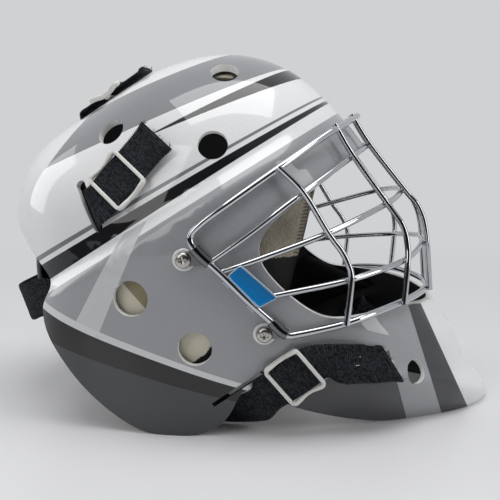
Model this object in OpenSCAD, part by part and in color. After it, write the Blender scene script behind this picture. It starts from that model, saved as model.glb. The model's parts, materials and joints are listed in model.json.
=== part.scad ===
/* [Shell] */
// Half width of the closed head form at the ears
half_w = 92; // [88:1:98]
// Thickness of the moulded shell
wall = 4; // [3:0.5:5]
// Height by which the cheek plate stands out under the ridge
ridge_h = 7; // [4:0.5:9]
// Width of the sloping face between crown and cheek plate
ridge_w = 12; // [9:1:16]
// Front ear hole diameter
ear_front_d = 20; // [16:1:22]
// Rear ear hole diameter
ear_rear_d = 21; // [16:1:24]
// Diameter of the vents in the crown
vent_d = 17.6; // [12:0.2:20]
// Diameter of the two holes in the chin
chin_hole_d = 15; // [10:0.5:17]

/* [Cage] */
// Diameter of the cage's rim wire
rim_wire_d = 4.2; // [3.6:0.1:4.6]
// Diameter of the cage's bars
bar_d = 3.6; // [3:0.1:4]
// Diameter of the clip screws' heads
screw_head_d = 9.4; // [8:0.2:11]
// Diameter of the clip screws' shanks
screw_d = 4; // [3:0.1:5]
// Thickness of the clip's sheet steel
clip_t = 1.2; // [0.8:0.1:1.6]
// Diameter of the washer under a clip
washer_d = 13; // [11:0.5:15]
// Thickness of the washer under a clip
washer_t = 1.4; // [1:0.1:2]

/* [Harness] */
// Width of the elastic webbing
web_w = 25; // [20:0.5:25.5]
// Thickness of the elastic webbing
web_t = 1.6; // [1.2:0.1:2]
// Width of a slider's bars
slider_bar = 2.8; // [2.4:0.1:3.4]
// Thickness of a slider's frame
slider_t = 2.2; // [1.8:0.1:2.6]
// Length of a slider along its strap
slider_len = 25; // [23:0.5:27]
// Thickness of the back plate
plate_t = 2.5; // [2:0.1:3]
// Half width of the back plate
plate_half_w = 42; // [36:1:46]

/* [Padding] */
// Thickness of the temple pads
temple_t = 13; // [8:0.5:15]
// Thickness of the jaw pads
jaw_t = 11; // [7:0.5:13]
// Thickness of the forehead pad
forehead_t = 13; // [9:0.5:15]
// Thickness of the crown pad
crown_t = 11; // [7:0.5:13]
// Thickness of the back plate's pad
back_pad_t = 12; // [8:0.5:14]

/* [Hidden] */
sides = ["right", "left"];

// Clearance between pieces that lie on each other, and the room round a screw's shank
gap = 0.3;
screw_play = 0.5;
white = "#f2f3f4";
chrome = "#c9ccd0";
black = "#17181a";
cream = "#cfc9b8";

// The head form: a closed outline on the middle plane, as x, z, fullness of the side, roundness of the edge
centre = [-22, 88];
outline = [
  [163, 3, 2.2, 1.55], [151, 23, 2.2, 1.7], [138, 48, 2.3, 1.9], [124, 70, 2.4, 2], [117, 95, 2.4, 2],
  [104, 126, 2.2, 2], [84, 158, 2.1, 2], [62, 187, 2.2, 2], [28, 217, 2.5, 2],
  [-12, 228, 2.7, 2], [-57, 219, 2.7, 2], [-100, 194, 2.7, 2], [-141, 165, 2.6, 2],
  [-157, 130, 2.5, 2], [-152, 88, 2.9, 2], [-155, 20, 3, 2], [-120, -60, 3, 2], [-60, -110, 3, 2],
  [0, -110, 2.8, 1.8], [60, -75, 2.4, 1.6], [110, -45, 2.2, 1.5], [148, -20, 2.2, 1.5]];
round_steps = 4;
across_steps = 12;
inner_round_steps = 3;
inner_across_steps = 8;

// The ridge between crown and cheek plate: a point on it and its slope in the side view
ridge_at = [-109, 86];
ridge_slope = 32;

// Catmull-Rom value at u between b and c
function through(a, b, c, d, u) = 0.5 * (2 * b + (c - a) * u + (2 * a - 5 * b + 4 * c - d) * u * u
  + (3 * b - a - 3 * c + d) * u * u * u);
// Closed smooth curve through the points p, k steps between two of them
function loop_curve(p, k) = let (n = len(p)) [for (i = [0:n - 1], j = [0:k - 1])
  through(p[(i + n - 1) % n], p[i], p[(i + 1) % n], p[(i + 2) % n], j / k)];
// Open smooth curve through the points p, k steps between two of them
function open_curve(p, k) = let (n = len(p)) concat(
  [for (i = [0:n - 2], j = [0:k - 1]) through(p[max(0, i - 1)], p[i], p[i + 1], p[min(n - 1, i + 2)], j / k)],
  [p[n - 1]]);
function unit(v) = v / norm(v);
function ease(u) = let (v = max(0, min(1, u))) v * v * (3 - 2 * v);
function mirror_y(p) = [p[0], -p[1], p[2]];
// The cage and the harness are drawn for a form of this half width, and follow half_w in proportion
drawn_w = 92;
function wide(p) = [p[0], p[1] * half_w / drawn_w, p[2]];
function widened(pts) = [for (p = pts) wide(p)];

// Distance above the ridge line, negative on the cheek plate
function ridge_side(x, z) = (z - ridge_at[1]) * cos(ridge_slope) - (x - ridge_at[0]) * sin(ridge_slope);
// How far the cheek plate stands out at x, z, where s is the share of the half width there
function ridge_step(x, z, s) = ridge_h * ease(0.5 - ridge_side(x, z) / ridge_w) * ease((abs(s) - 0.5) / 0.4);

// A point of the form under the outline point e, at angle t from the middle plane, inset from the outside
function form_point(e, t, inset) = let (
    d = [e[0] - centre[0], e[1] - centre[1]], k = 1 - inset / norm(d),
    c = pow(cos(t), 2 / e[2]), s = pow(abs(sin(t)), 2 / e[3]) * sign(t),
    x = centre[0] + d[0] * k * c, z = centre[1] + d[1] * k * c)
  [x, s * (half_w - inset) + sign(t) * ridge_step(x, z, s), z];

// The outline by angle, to find how wide the form is at a place in the side view
rim_line = loop_curve(outline, 4);
rim_turn = let (a0 = atan2(rim_line[0][1] - centre[1], rim_line[0][0] - centre[0]))
  [for (e = rim_line) (atan2(e[1] - centre[1], e[0] - centre[0]) - a0 + 720) % 360];
function rim_at(x, z) = let (
    n = len(rim_line), a0 = atan2(rim_line[0][1] - centre[1], rim_line[0][0] - centre[0]),
    t = (atan2(z - centre[1], x - centre[0]) - a0 + 720) % 360,
    i = max([for (k = [0:n - 1]) if (rim_turn[k] <= t) k]),
    next = i == n - 1 ? 360 : rim_turn[i + 1], u = (t - rim_turn[i]) / (next - rim_turn[i]),
    e = rim_line[i] * (1 - u) + rim_line[(i + 1) % n] * u)
  [norm([e[0] - centre[0], e[1] - centre[1]]), e[2], e[3]];
// Half width of the form at x, z in the side view, inset from the outside
function side_y(x, z, inset = 0) = let (
    e = rim_at(x, z), q = min(1, norm([x, z] - centre) / (e[0] - inset)), s = pow(1 - pow(q, e[1]), 1 / e[2]))
  s * (half_w - inset) + ridge_step(x, z, s);
// Outward direction of the form at x, z on the left side
function side_out(x, z) = let (h = 3,
    dx = (side_y(x + h, z) - side_y(x - h, z)) / (2 * h),
    dz = (side_y(x, z + h) - side_y(x, z - h)) / (2 * h))
  unit([-dx, 1, -dz]);
// Direction on the left side's surface that the side view shows at angle a
function side_along(x, z, a) = let (n = side_out(x, z))
  unit([cos(a), -(n[0] * cos(a) + n[2] * sin(a)) / n[1], sin(a)]);

// Places its children with z out of the left side at x, z and x along the angle a of the side view
module on_side(at, a) {
  n = side_out(at[0], at[1]);
  u = side_along(at[0], at[1], a);
  v = cross(n, u);
  y = side_y(at[0], at[1]);
  multmatrix([[u[0], v[0], n[0], at[0]], [u[1], v[1], n[1], y], [u[2], v[2], n[2], at[1]]]) children();
}
// The same place as a point: a along, b across, c out of the surface
function on_side_point(at, a, p) = let (n = side_out(at[0], at[1]), u = side_along(at[0], at[1], a))
  [at[0], side_y(at[0], at[1]), at[1]] + u * p[0] + cross(n, u) * p[1] + n * p[2];
// Shows its children on the left, or mirrored on the right
module on(side) {
  mirror([0, side == "right" ? 1 : 0, 0]) children();
}

// A solid between two grids of points with the same rows and columns, its first grid outwards
module slab(top, bottom) {
  n = len(top);
  m = len(top[0]);
  pts = concat([for (r = top) each r], [for (r = bottom) each r]);
  o = n * m;
  polyhedron(pts, concat(
    [for (i = [0:n - 2], j = [0:m - 2]) let (a = i * m + j)
      each [[a, a + m + 1, a + 1], [a, a + m, a + m + 1], [o + a, o + a + 1, o + a + m + 1],
      [o + a, o + a + m + 1, o + a + m]]],
    [for (i = [0:n - 2]) let (a = i * m) each [[a, o + a + m, a + m], [a, o + a, o + a + m]]],
    [for (i = [0:n - 2]) let (a = i * m + m - 1) each [[a, a + m, o + a + m], [a, o + a + m, o + a]]],
    [for (j = [0:m - 2]) each [[j, j + 1, o + j + 1], [j, o + j + 1, o + j]]],
    [for (j = [0:m - 2]) let (a = (n - 1) * m + j) each [[a, o + a + 1, a + 1], [a, o + a, o + a + 1]]]));
}
// Direction of the curve at each of its points
function directions(pts, closed = false) = let (n = len(pts)) [for (i = [0:n - 1])
  unit(closed ? pts[(i + 1) % n] - pts[(i + n - 1) % n] : pts[min(n - 1, i + 1)] - pts[max(0, i - 1)])];
// A solid swept along pts: the section's first axis lies along the place's entry in across
module sweep(pts, across, section, closed = false) {
  n = len(pts);
  m = len(section);
  along = directions(pts, closed);
  out = [for (i = [0:n - 1]) unit(cross(along[i], across[i]))];
  right = [for (i = [0:n - 1]) cross(out[i], along[i])];
  all = [for (i = [0:n - 1], q = section) pts[i] + right[i] * q[0] + out[i] * q[1]];
  skin = [for (i = [0:closed ? n - 1 : n - 2], j = [0:m - 1]) let (
      a = i * m + j, b = i * m + (j + 1) % m, c = (i + 1) % n * m + j, d = (i + 1) % n * m + (j + 1) % m)
    each [[a, d, b], [a, c, d]]];
  ends = [[for (j = [0:m - 1]) j], [for (j = [m - 1:-1:0]) (n - 1) * m + j]];
  polyhedron(all, closed ? skin : concat(skin, ends));
}
function ring_section(d, n) = [for (i = [0:n - 1]) let (a = 360 * (i + 0.5) / n) [cos(a), sin(a)] * d / 2];
// Section of flat webbing with softened edges
function web_section(w, t) = let (e = t / 3) [[-w / 2, -t / 2 + e], [-w / 2 + e, -t / 2], [w / 2 - e, -t / 2],
  [w / 2, -t / 2 + e], [w / 2, t / 2 - e], [w / 2 - e, t / 2], [-w / 2 + e, t / 2], [-w / 2, t / 2 - e]];
function round_rect(l, w, r, n = 6) = [for (c = [0:3], i = [0:n]) let (a = 90 * c + 90 * i / n)
  [(c == 0 || c == 3 ? 1 : -1) * (l / 2 - r) + r * cos(a), (c < 2 ? 1 : -1) * (w / 2 - r) + r * sin(a)]];

// The closed form as a mesh of nc columns round the outline, from one ear to the other
module form(inset, nr, na) {
  line = loop_curve(outline, nr);
  nc = len(line);
  rows = 2 * na - 1;
  pts = concat([form_point(line[0], 90, inset)],
    [for (j = [1:rows], e = line) form_point(e, 90 - 90 * j / na, inset)],
    [form_point(line[0], -90, inset)]);
  last = len(pts) - 1;
  end = 1 + (rows - 1) * nc;
  polyhedron(pts, concat(
    [for (i = [0:nc - 1]) [0, 1 + i, 1 + (i + 1) % nc]],
    [for (j = [0:rows - 2], i = [0:nc - 1]) let (a = 1 + j * nc + i, b = 1 + j * nc + (i + 1) % nc)
      each [[a, b + nc, b], [a, a + nc, b + nc]]],
    [for (i = [0:nc - 1]) [last, end + (i + 1) % nc, end + i]]));
}

// Places in the side view, as x, z
ear_front = [-20.8, 54.7];
ear_rear = [-58.5, 83.5];
vent_side = [-12.4, 171.5];
vent_rear = [-77.5, 178.5];
vent_top = [-10, 44];
chin_hole = [109.5, 34];
// Lower edge of the shell: rear rim, notch, cheek, flange, jaw notch and chin
lower_edge = [[-220, 182], [-162, 130], [-112, 87.5], [-119.5, 74], [-119, 66], [-115, 56], [-104, 41.5],
  [-94, 29.5], [-82, 18.5], [-69, 9], [-57, 2.6], [-48, 0], [-22, 0], [-13, 3.4], [-3, 10], [4, 24.5],
  [6.2, 28], [9, 29.3], [20, 33], [32, 19], [44, 14], [58, 9], [74, 4], [92, 0],
  [240, 0], [240, -160], [-240, -160]];
// Edge of the face opening, from the chin round the side to the brow
face_edge = [[124, 69], [106, 73], [86, 73], [64, 72], [54, 73], [45, 77.5], [35.5, 84.5], [26.5, 93],
  [18.5, 102], [15.5, 110], [16, 117.5], [21.5, 126], [30, 133.5], [41, 142], [58, 154], [75, 166]];
// Slot for the upper strap, its length and width, and the open cut in the cheek
upper_slot = [-87, 135.5];
upper_slot_size = [35, 6];
upper_slot_angle = -61;
cheek_cut = [[-10, 20.8], [18.5, 40.3]];
cheek_cut_w = 2.6;
// Slot for the top strap on the middle plane, as x, z
top_slot = [-113, 187];
top_slot_size = [6, 28];

module side_prism(p) {
  rotate([90, 0, 0]) linear_extrude(2 * half_w + 60, center = true) polygon(p);
}
module side_hole(at, d) {
  for (s = sides) on(s) on_side(at, 0) translate([0, 0, -20]) cylinder(d = d, h = 30, $fn = 48);
}
module shell() {
  color(white) difference() {
    form(0, round_steps, across_steps);
    form(wall, inner_round_steps, inner_across_steps);
    side_prism(lower_edge);
    side_prism(concat([[240, 62]], face_edge, [[240, 262]]));
    side_hole(ear_front, ear_front_d);
    side_hole(ear_rear, ear_rear_d);
    side_hole(vent_side, vent_d);
    side_hole(vent_rear, vent_d);
    side_hole(chin_hole, chin_hole_d);
    for (s = [-1, 1]) translate([vent_top[0], s * vent_top[1], 190]) cylinder(d = vent_d, h = 60, $fn = 48);
    for (s = sides) on(s) {
      on_side(upper_slot, upper_slot_angle) translate([0, 0, -8]) linear_extrude(16)
        polygon(round_rect(upper_slot_size[0], upper_slot_size[1], upper_slot_size[1] / 2 - 0.01));
      translate([0, half_w - 20, 0]) rotate([90, 0, 0]) mirror([0, 0, 1]) linear_extrude(40)
        polygon(cut_outline(cheek_cut, cheek_cut_w));
      for (c = [clip_high, clip_low]) on_side(c, 0)
        translate([0, 0, -12]) cylinder(d = screw_d + screw_play, h = 16, $fn = 24);
    }
    translate([top_slot[0], 0, top_slot[1]]) rotate([0, -37, 0]) linear_extrude(24, center = true)
      polygon(round_rect(top_slot_size[0], top_slot_size[1], 2.5));
  }
}
// A straight cut of width w between two points of the side view
function cut_outline(ends, w) = let (u = unit(ends[1] - ends[0]), v = [-u[1], u[0]] * w / 2)
  [ends[0] - v - u, ends[1] - v, ends[1] + v, ends[0] + v - u];

// Cage: half of the rim from the brow to the chin, as x, y, z
clip_high = [-26.5, 107.3];
clip_low = [19.4, 64.8];
rim_half = widened([[72, 0, 188], [69, 15, 186.5], [60, 43, 181], [52, 56, 176.5], [26, 83, 158.5],
  [0, 97, 140], [-15, 101, 129], [-22, 102, 121], [-19, 103, 113.5], [-5, 103.3, 100.5], [11, 102.5, 84.5],
  [23, 100.4, 73.3], [32, 100.8, 65.8], [40, 98.2, 65.5], [64, 89.5, 69.5], [80, 79, 73], [98, 60, 76],
  [110, 40, 77], [118, 18, 77], [120, 0, 77]]);
// The posts of one side, from the brow down, and half of each cross bar, from the side to the middle
post_inner = widened([[68, 13, 189], [80, 14, 170], [103.5, 15, 140.5], [112.5, 16, 129.5],
  [117.5, 17.5, 113], [121, 18.5, 76]]);
post_middle = widened([[57.5, 46.5, 183], [69, 47.5, 164], [90, 50.5, 135.5], [99.3, 53.5, 122.5],
  [102.5, 56, 110], [102.5, 58.5, 98], [101, 61.5, 75.5]]);
post_outer = widened([[26, 86.5, 159.5], [40.5, 86, 145], [55, 86.5, 122], [62.5, 87, 112], [66.5, 88, 104.5],
  [68.5, 89, 95], [66.3, 92, 69.5]]);
bar_top = widened([[-11, 101.8, 106.6], [12, 96, 123], [39.5, 83, 144], [67.5, 45.5, 162.8],
  [77.8, 14.5, 168.8], [79.2, 0, 169.2]]);
bar_middle = widened([[-4, 101.6, 101.2], [16, 98.5, 108], [54.7, 83.3, 121.5], [89.7, 47.3, 135],
  [100.5, 15, 139.5], [101.7, 0, 140.2]]);
bar_bottom = widened([[12.4, 101, 85], [31, 97, 88.5], [67.5, 86.2, 95], [100.8, 55.6, 101.8],
  [115.2, 17, 107], [116.3, 0, 107.5]]);
head = [-10, 0, 100];
function full_bar(half) = let (n = len(half))
  concat([for (i = [0:n - 1]) mirror_y(half[i])], [for (i = [n - 2:-1:0]) half[i]]);
module wire(pts, d, closed = false) {
  along = directions(pts, closed);
  sweep(pts, [for (i = [0:len(pts) - 1]) cross(pts[i] - head, along[i])], ring_section(d, 8), closed);
}
module cage_rim() {
  n = len(rim_half);
  ring = concat([for (i = [0:n - 1]) rim_half[i]], [for (i = [n - 2:-1:1]) mirror_y(rim_half[i])]);
  color(chrome) wire(loop_curve(ring, 2), rim_wire_d, true);
}
module cross_bar(half) {
  color(chrome) wire(open_curve(full_bar(half), 3), bar_d);
}
module post(pts, side) {
  color(chrome) on(side) wire(open_curve(pts, 3), bar_d);
}

// Label plate on the cage: its corners in the side view with the height of its inner face
plate_corners = widened([[0.3, 103.6, 99.6], [7, 103, 105.2], [26.7, 101.6, 86.8], [17.5, 103.2, 82.4]]);
plate_sheet = 0.8;
module cage_plate() {
  p = [for (c = plate_corners) mirror_y(c)];
  q = [for (c = p) c - [0, plate_sheet, 0]];
  color("#1f77b4") slab([[q[3], q[2]], [q[0], q[1]]], [[p[3], p[2]], [p[0], p[1]]]);
}

// Clips that hold the rim wire, each with its screw's place, the wire's point that it grips and the wire's
// direction
clip_len = 7.5;
grips = [[clip_high, wide([-15.5, 103.15, 110.2]), [14, 0.3, -13]],
  [clip_low, wide([28.2, 100.72, 68.65]), [9, 0.4, -7.5]]];
grip_bore = rim_wire_d + 0.5;
// Turns z along v at p
module along_line(p, v) {
  translate(p) rotate([0, acos(v[2] / norm(v)), atan2(v[1], v[0])]) children();
}
module each_clip() {
  for (s = sides, g = grips) on(s) {
    $at = g[0];
    $hold = g[1];
    $run = g[2];
    children();
  }
}
module clip() {
  reach = norm([$hold[0], $hold[2]] - $at) - 2.4;
  a = atan2($hold[2] - $at[1], $hold[0] - $at[0]);
  tab = concat([for (i = [3:21]) 0.45 * washer_d * [cos(15 * i), sin(15 * i)]], [[reach, -4], [reach, 4]]);
  difference() {
    union() {
      on_side($at, a) translate([0, 0, washer_t + gap / 2]) linear_extrude(clip_t) polygon(tab);
      along_line($hold, $run) cylinder(d = grip_bore + 2 * clip_t, h = clip_len, center = true, $fn = 32);
    }
    along_line($hold, $run) cylinder(d = grip_bore, h = clip_len + 10, center = true, $fn = 32);
    on_side($at, a) cylinder(d = screw_d + screw_play, h = 20, center = true, $fn = 24);
  }
}
module clip_washer() {
  on_side($at, 0) translate([0, 0, gap / 2]) difference() {
    cylinder(d = washer_d, h = washer_t - gap / 2, $fn = 32);
    translate([0, 0, -1]) cylinder(d = screw_d + screw_play, h = washer_t + 2, $fn = 24);
  }
}
head_h = 2.6;
nut_t = 1.5;
module clip_screw() {
  seat = washer_t + clip_t + gap;
  half_h = head_h / 2;
  on_side($at, 0) {
    difference() {
      union() {
        translate([0, 0, seat]) cylinder(d = screw_head_d, h = half_h, $fn = 32);
        translate([0, 0, seat + half_h - 0.01])
          cylinder(d1 = screw_head_d, d2 = screw_head_d * 0.62, h = half_h, $fn = 32);
        translate([0, 0, -wall - 6]) cylinder(d = screw_d, h = seat + wall + 6.1, $fn = 24);
      }
      for (a = [45, 135]) rotate([0, 0, a]) translate([0, 0, seat + head_h])
        cube([screw_head_d * 0.55, 1.3, 3], center = true);
    }
  }
}
module clip_nut() {
  on_side($at, 0) translate([0, 0, -wall - 1]) difference() {
    union() {
      translate([0, 0, -nut_t]) cylinder(d = 12, h = nut_t, $fn = 32);
      translate([0, 0, -nut_t - 3]) cylinder(d = 7, h = 3.1, $fn = 32);
    }
    translate([0, 0, -10]) cylinder(d = screw_d + 0.2, h = 20, $fn = 24);
  }
}

// Harness. A slider's bars: one under the strap, two over it, joined by rails beside it
low_bar = 2;
strap_lift = gap + low_bar + gap + web_t / 2;
slider_w = web_w + 2 * gap + 2 * slider_bar;
module slider() {
  top = strap_lift + web_t / 2 + gap;
  color(white) {
    difference() {
      translate([0, 0, top]) linear_extrude(slider_t) polygon(round_rect(slider_len, slider_w, 3));
      translate([0, 0, top - 1]) linear_extrude(slider_t + 2)
        polygon(round_rect(slider_len - 2 * slider_bar, web_w - 1, 1));
    }
    for (s = [-1, 1]) translate([-slider_bar / 2, s * (slider_w - slider_bar) / 2 - slider_bar / 2, gap])
      cube([slider_bar, slider_bar, top - gap + 0.1]);
    translate([-slider_bar / 2, -slider_w / 2 + 0.1, gap]) cube([slider_bar, slider_w - 0.2, low_bar]);
  }
}
upper_at = [-67, 149.5];
upper_angle = 49;
upper_tail = 35;
jaw_at = [36.5, 39.7];
jaw_angle = 37;
top_angle = 33;
top_tail = 30;
// Point on the middle plane's outline in the direction of x, z
function mid_point(x, z) = let (p = centre + rim_at(x, z)[0] * unit([x, z] - centre)) [p[0], 0, p[1]];
top_at = mid_point(-92, 199.3);
module top_frame() {
  translate(top_at) rotate([0, -top_angle, 0]) children();
}
// A point that is a along and c out from p, where the angle t leads forwards on the middle plane
function mid_place(p, t, a, c) = p + [cos(t), 0, sin(t)] * a + [-sin(t), 0, cos(t)] * c;
// A point on the left side's inner wall, d in from the outside
function inside(x, z, d) = [x, side_y(x, z) - d, z];
// Way of webbing through a slot: how far from the slot towards the slider, and out of the shell
slot_way = [[2.2, 1.4], [0.3, -2], [-0.8, -5.5], [-4, -8.5]];
// Webbing with straight stretches and smooth ones, each knot a point and its width's direction
function smooth(knots, k) = open_curve([for (q = knots) concat(q[0], q[1])], k);
module webbing(route) {
  color(black) sweep([for (q = route) [q[0], q[1], q[2]]], [for (q = route) [q[3], q[4], q[5]]],
    web_section(web_w, web_t));
}
// Knots of webbing that lies with its flat side to the surface
function flat_on(at, p, a) = let (n = side_out(at[0], at[1]), u = side_along(at[0], at[1], a))
  [on_side_point(at, a, p), cross(n, u)];
module upper_strap(side) {
  slot_across = side_along(upper_slot[0], upper_slot[1], upper_slot_angle);
  straight = [for (a = [upper_tail, 12, -15.5]) flat_on(upper_at, [a, 0, strap_lift], upper_angle)];
  through_slot = [for (q = slot_way)
    [on_side_point(upper_slot, upper_slot_angle, [3.6, -q[0], q[1]]), slot_across]];
  inner = [[wide([-106, 62, 131]), [0.1, 0, -1]], [ball_point(strap_r + 3, 154, 48), [-0.2, 0, -1]],
    [ball_point(strap_r, 158, 32), [-0.34, 0, -0.94]]];
  on(side) webbing(concat([for (q = straight) concat(q[0], q[1])],
    smooth(concat([flat_on(upper_at, [-16.5, 0, strap_lift], upper_angle)], through_slot, inner), 2)));
}
module jaw_strap(side) {
  tail = [for (q = [[92.5, 37.5, -40], [87, 41.5, -22], [80, 44.6, -10], [71, 47, -4], [61, 49.5, 8]])
    flat_on([q[0], q[1]], [0, 0, 2.4], q[2] + 180)];
  straight = [for (a = [-18, -14, 21, 22]) flat_on(jaw_at, [a, 0, strap_lift], jaw_angle + 180)];
  inner = [[wide([17, 92, 20.5]), [-0.4, 0.3, 0.87]], [wide([14, 84.5, 14]), [-0.1, 0.4, 0.9]],
    [wide([2, 79.5, 11.9]), [0.05, 0.5, 0.86]], [wide([-14, 78, 14]), [0.2, 0.3, 0.93]],
    [inside(-32, 25, 9), [0.4, 0, 0.9]], [inside(-58, 40, 9), [0.5, 0, 0.85]],
    [inside(-80, 55, wall + 3.4), [0.5, 0, 0.85]]];
  on(side) webbing(concat(smooth(concat(tail, [straight[0]]), 2),
    [for (i = [1, 2]) concat(straight[i][0], straight[i][1])], smooth(concat([straight[3]], inner), 2)));
}
module top_strap() {
  slot = [top_slot[0], 0, top_slot[1]];
  straight = [for (a = [top_tail, 12, -14]) mid_place(top_at, top_angle, a, strap_lift)];
  through_slot = [for (q = slot_way) mid_place(slot, 37, q[0], q[1])];
  inner = [[-122, 0, 168], [-131, 0, 155], [-137, 0, 141], ball_point(strap_r, 160, 0)];
  bent = concat([mid_place(top_at, top_angle, -15, strap_lift)], through_slot, inner);
  webbing(concat([for (p = straight) concat(p, [0, -1, 0])], smooth([for (p = bent) [p, [0, -1, 0]]], 2)));
}

// Back plate: part of a ball about the head's centre, between two angles of the side view
head_centre = [-60, 90];
rear_wall = [outline[13][0], outline[13][1]];
// Room between the shell's rear wall and the plate's inner face
plate_room = 17.9;
plate_r = norm(rear_wall - head_centre) - wall - plate_room;
strap_r = plate_r + plate_t + gap + web_t / 2;
function ball_point(r, a, y) = let (q = sqrt(r * r - y * y))
  [head_centre[0] + q * cos(a), y, head_centre[1] + q * sin(a)];
// Share of the full thickness at u, v of a cushion: thin at the edges, with drawn-in channels
function crown(u, v, channels = 0) = (1 - pow(abs(2 * u - 1), 6)) * (1 - pow(abs(2 * v - 1), 6)) * 0.8 + 0.2
  - (channels > 0 ? 0.12 * pow(abs(cos(180 * channels * u)), 12) : 0);
module back_plate() {
  rows = 12;
  cols = 14;
  function y_at(i, j) = (2 * j / cols - 1) * plate_half_w * (1 - 0.25 * pow(2 * i / rows - 1, 4));
  color(black) slab(
    [for (i = [0:rows]) [for (j = [0:cols]) ball_point(plate_r + plate_t, 154 + 52 * i / rows, y_at(i, j))]],
    [for (i = [0:rows]) [for (j = [0:cols]) ball_point(plate_r, 154 + 52 * i / rows, y_at(i, j))]]);
}
module back_pad() {
  rows = 12;
  cols = 12;
  function y_at(i, j) = (2 * j / cols - 1) * (plate_half_w - 5) * (1 - 0.25 * pow(2 * i / rows - 1, 4));
  function pt(i, j, d) = ball_point(plate_r - gap - d, 157 + 46 * i / rows, y_at(i, j));
  color(black) slab(
    [for (i = [0:rows]) [for (j = [0:cols]) pt(i, j, 0)]],
    [for (i = [0:rows]) [for (j = [0:cols]) pt(i, j, back_pad_t * crown(i / rows, j / cols, 3))]]);
}
// Neck band: an arc about band_centre, low at the back and rising to the shell's inner walls
band_centre = -75.4;
band_r = 79;
module neck_band() {
  function at(f) = [[band_centre - band_r * cos(f), band_r * sin(f), 61.3 + 13 * pow(f / 50, 2)],
    [-0.43 * cos(f) * (1 - f / 70), 0.43 * sin(f) * (1 - f / 70), 0.9]];
  half = concat([[inside(-88, 76, wall + 1.6), [0.1, 0, 1]], [inside(-98, 76, 9.5), [0.1, 0, 1]],
    [inside(-108, 75, 14), [0, 0, 1]]], [for (f = [50, 38, 26, 13]) at(f)]);
  other = [for (i = [len(half) - 1:-1:0]) [mirror_y(half[i][0]), mirror_y(half[i][1])]];
  webbing(smooth(concat(half, [at(0)], other), 2));
}

// Pads on the shell's inner wall, and how far they stand off its smooth form, which the wall's flats reach
// into
pad_seat = 1.4;
module wall_pad(e0, e1, t, thick, rows, cols, channels) {
  function at(i) = let (e = e0 + (e1 - e0) * i / rows, n = len(outline), k = floor(e), u = e - k)
    through(outline[(k + n - 1) % n], outline[k], outline[k + 1], outline[(k + 2) % n], u);
  function pt(i, j, d) = form_point(at(i), t * (2 * j / cols - 1), wall + pad_seat + d);
  slab(
    [for (i = [0:rows]) [for (j = [0:cols]) pt(i, j, 0)]],
    [for (i = [0:rows]) [for (j = [0:cols]) pt(i, j, thick * crown(j / cols, i / rows, channels))]]);
}
// Pad on the side wall over a four-cornered field of the side view, whose side from the second corner to
// the third is bowed out
module side_pad(field, thick, rows, cols, channels, bow = 0) {
  side_way = unit(field[2] - field[1]);
  out = [side_way[1], -side_way[0]];
  function at(u, v) = (field[0] * (1 - u) + field[1] * u) * (1 - v) + (field[3] * (1 - u) + field[2] * u) * v
    + out * bow * u * sin(180 * v) * (1 - v);
  function pt(u, v, d) = let (p = at(u, v)) [p[0], side_y(p[0], p[1], wall + pad_seat) - d, p[1]];
  slab(
    [for (i = [0:rows]) [for (j = [0:cols]) pt(i / rows, j / cols, 0)]],
    [for (i = [0:rows]) [for (j = [0:cols])
      pt(i / rows, j / cols, thick * crown(j / cols, i / rows, channels))]]);
}
temple_field = [[-86, 92], [-38, 38], [32, 84], [46.5, 148]];
temple_bow = 10;
jaw_field = [[-4, 44], [32, 34], [88, 60], [36, 80]];
module nut_pocket(at) {
  on_side(at, 0) translate([0, 0, -wall - 6.5]) cylinder(d = 14, h = 8, $fn = 24);
}
module temple_pad(side) {
  color(cream) difference() {
    intersection() {
      on(side) side_pad(temple_field, temple_t, 10, 11, 2, temple_bow);
      form(wall + gap, inner_round_steps, inner_across_steps);
    }
    on(side) nut_pocket(clip_high);
  }
}
module jaw_pad(side) {
  color(black) on(side) difference() {
    side_pad(jaw_field, jaw_t, 8, 10, 0);
    nut_pocket(clip_low);
  }
}

// Chin cup and the sling that carries it
cup_centre = [76, 0, 50];
cup_r = [27, 32, 24];
cup_t = 5;
chin_snap = [74, 35];
stud_d = 5;
function cup_point(f, s, d) = cup_centre
  + [(cup_r[0] + d) * cos(f) * cos(s), (cup_r[1] + d) * sin(s), (cup_r[2] + d) * sin(f) * cos(s)];
module chin_cup() {
  rows = 10;
  cols = 14;
  function pt(i, j, d) = cup_point(-80 + 90 * i / rows, 62 * (2 * j / cols - 1), d);
  color(black) slab(
    [for (i = [0:rows]) [for (j = [0:cols]) pt(i, j, 0)]],
    [for (i = [0:rows]) [for (j = [0:cols]) pt(i, j, -cup_t * crown(i / rows, j / cols))]]);
}
sling_angle = 25;
sling_w = 14;
module chin_sling() {
  flat = cross(side_out(chin_snap[0], chin_snap[1]), side_along(chin_snap[0], chin_snap[1], sling_angle));
  ends = [for (a = [-8, 7]) [on_side_point(chin_snap, sling_angle, [a, 0, -wall - 4.1]), flat]];
  half = concat([[on_side_point(chin_snap, sling_angle, [8, 0, -wall - 4.1]), flat]],
    [for (s = [80, 62, 45, 30, 15]) [cup_point(-32, s, s > 70 ? 3 : gap + 1.3), [-0.57, 0, -0.82]]]);
  loop = smooth(concat(half, [[cup_point(-32, 0, gap + 1.3), [-0.57, 0, -0.82]]],
    [for (i = [len(half) - 1:-1:0]) [mirror_y(half[i][0]), mirror_y(half[i][1])]]), 2);
  route = concat([for (q = ends) concat(q[0], q[1])], loop,
    [for (i = [1, 0]) concat(mirror_y(ends[i][0]), mirror_y(ends[i][1]))]);
  places = [for (q = route) [q[0], q[1], q[2]]];
  widths = [for (q = route) [q[3], q[4], q[5]]];
  color(black) difference() {
    sweep(places, widths, web_section(sling_w, web_t));
    for (s = sides) on(s) on_side(chin_snap, 0)
      translate([0, 0, -wall - 9]) cylinder(d = stud_d + 1.2, h = 10, $fn = 24);
  }
}
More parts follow.
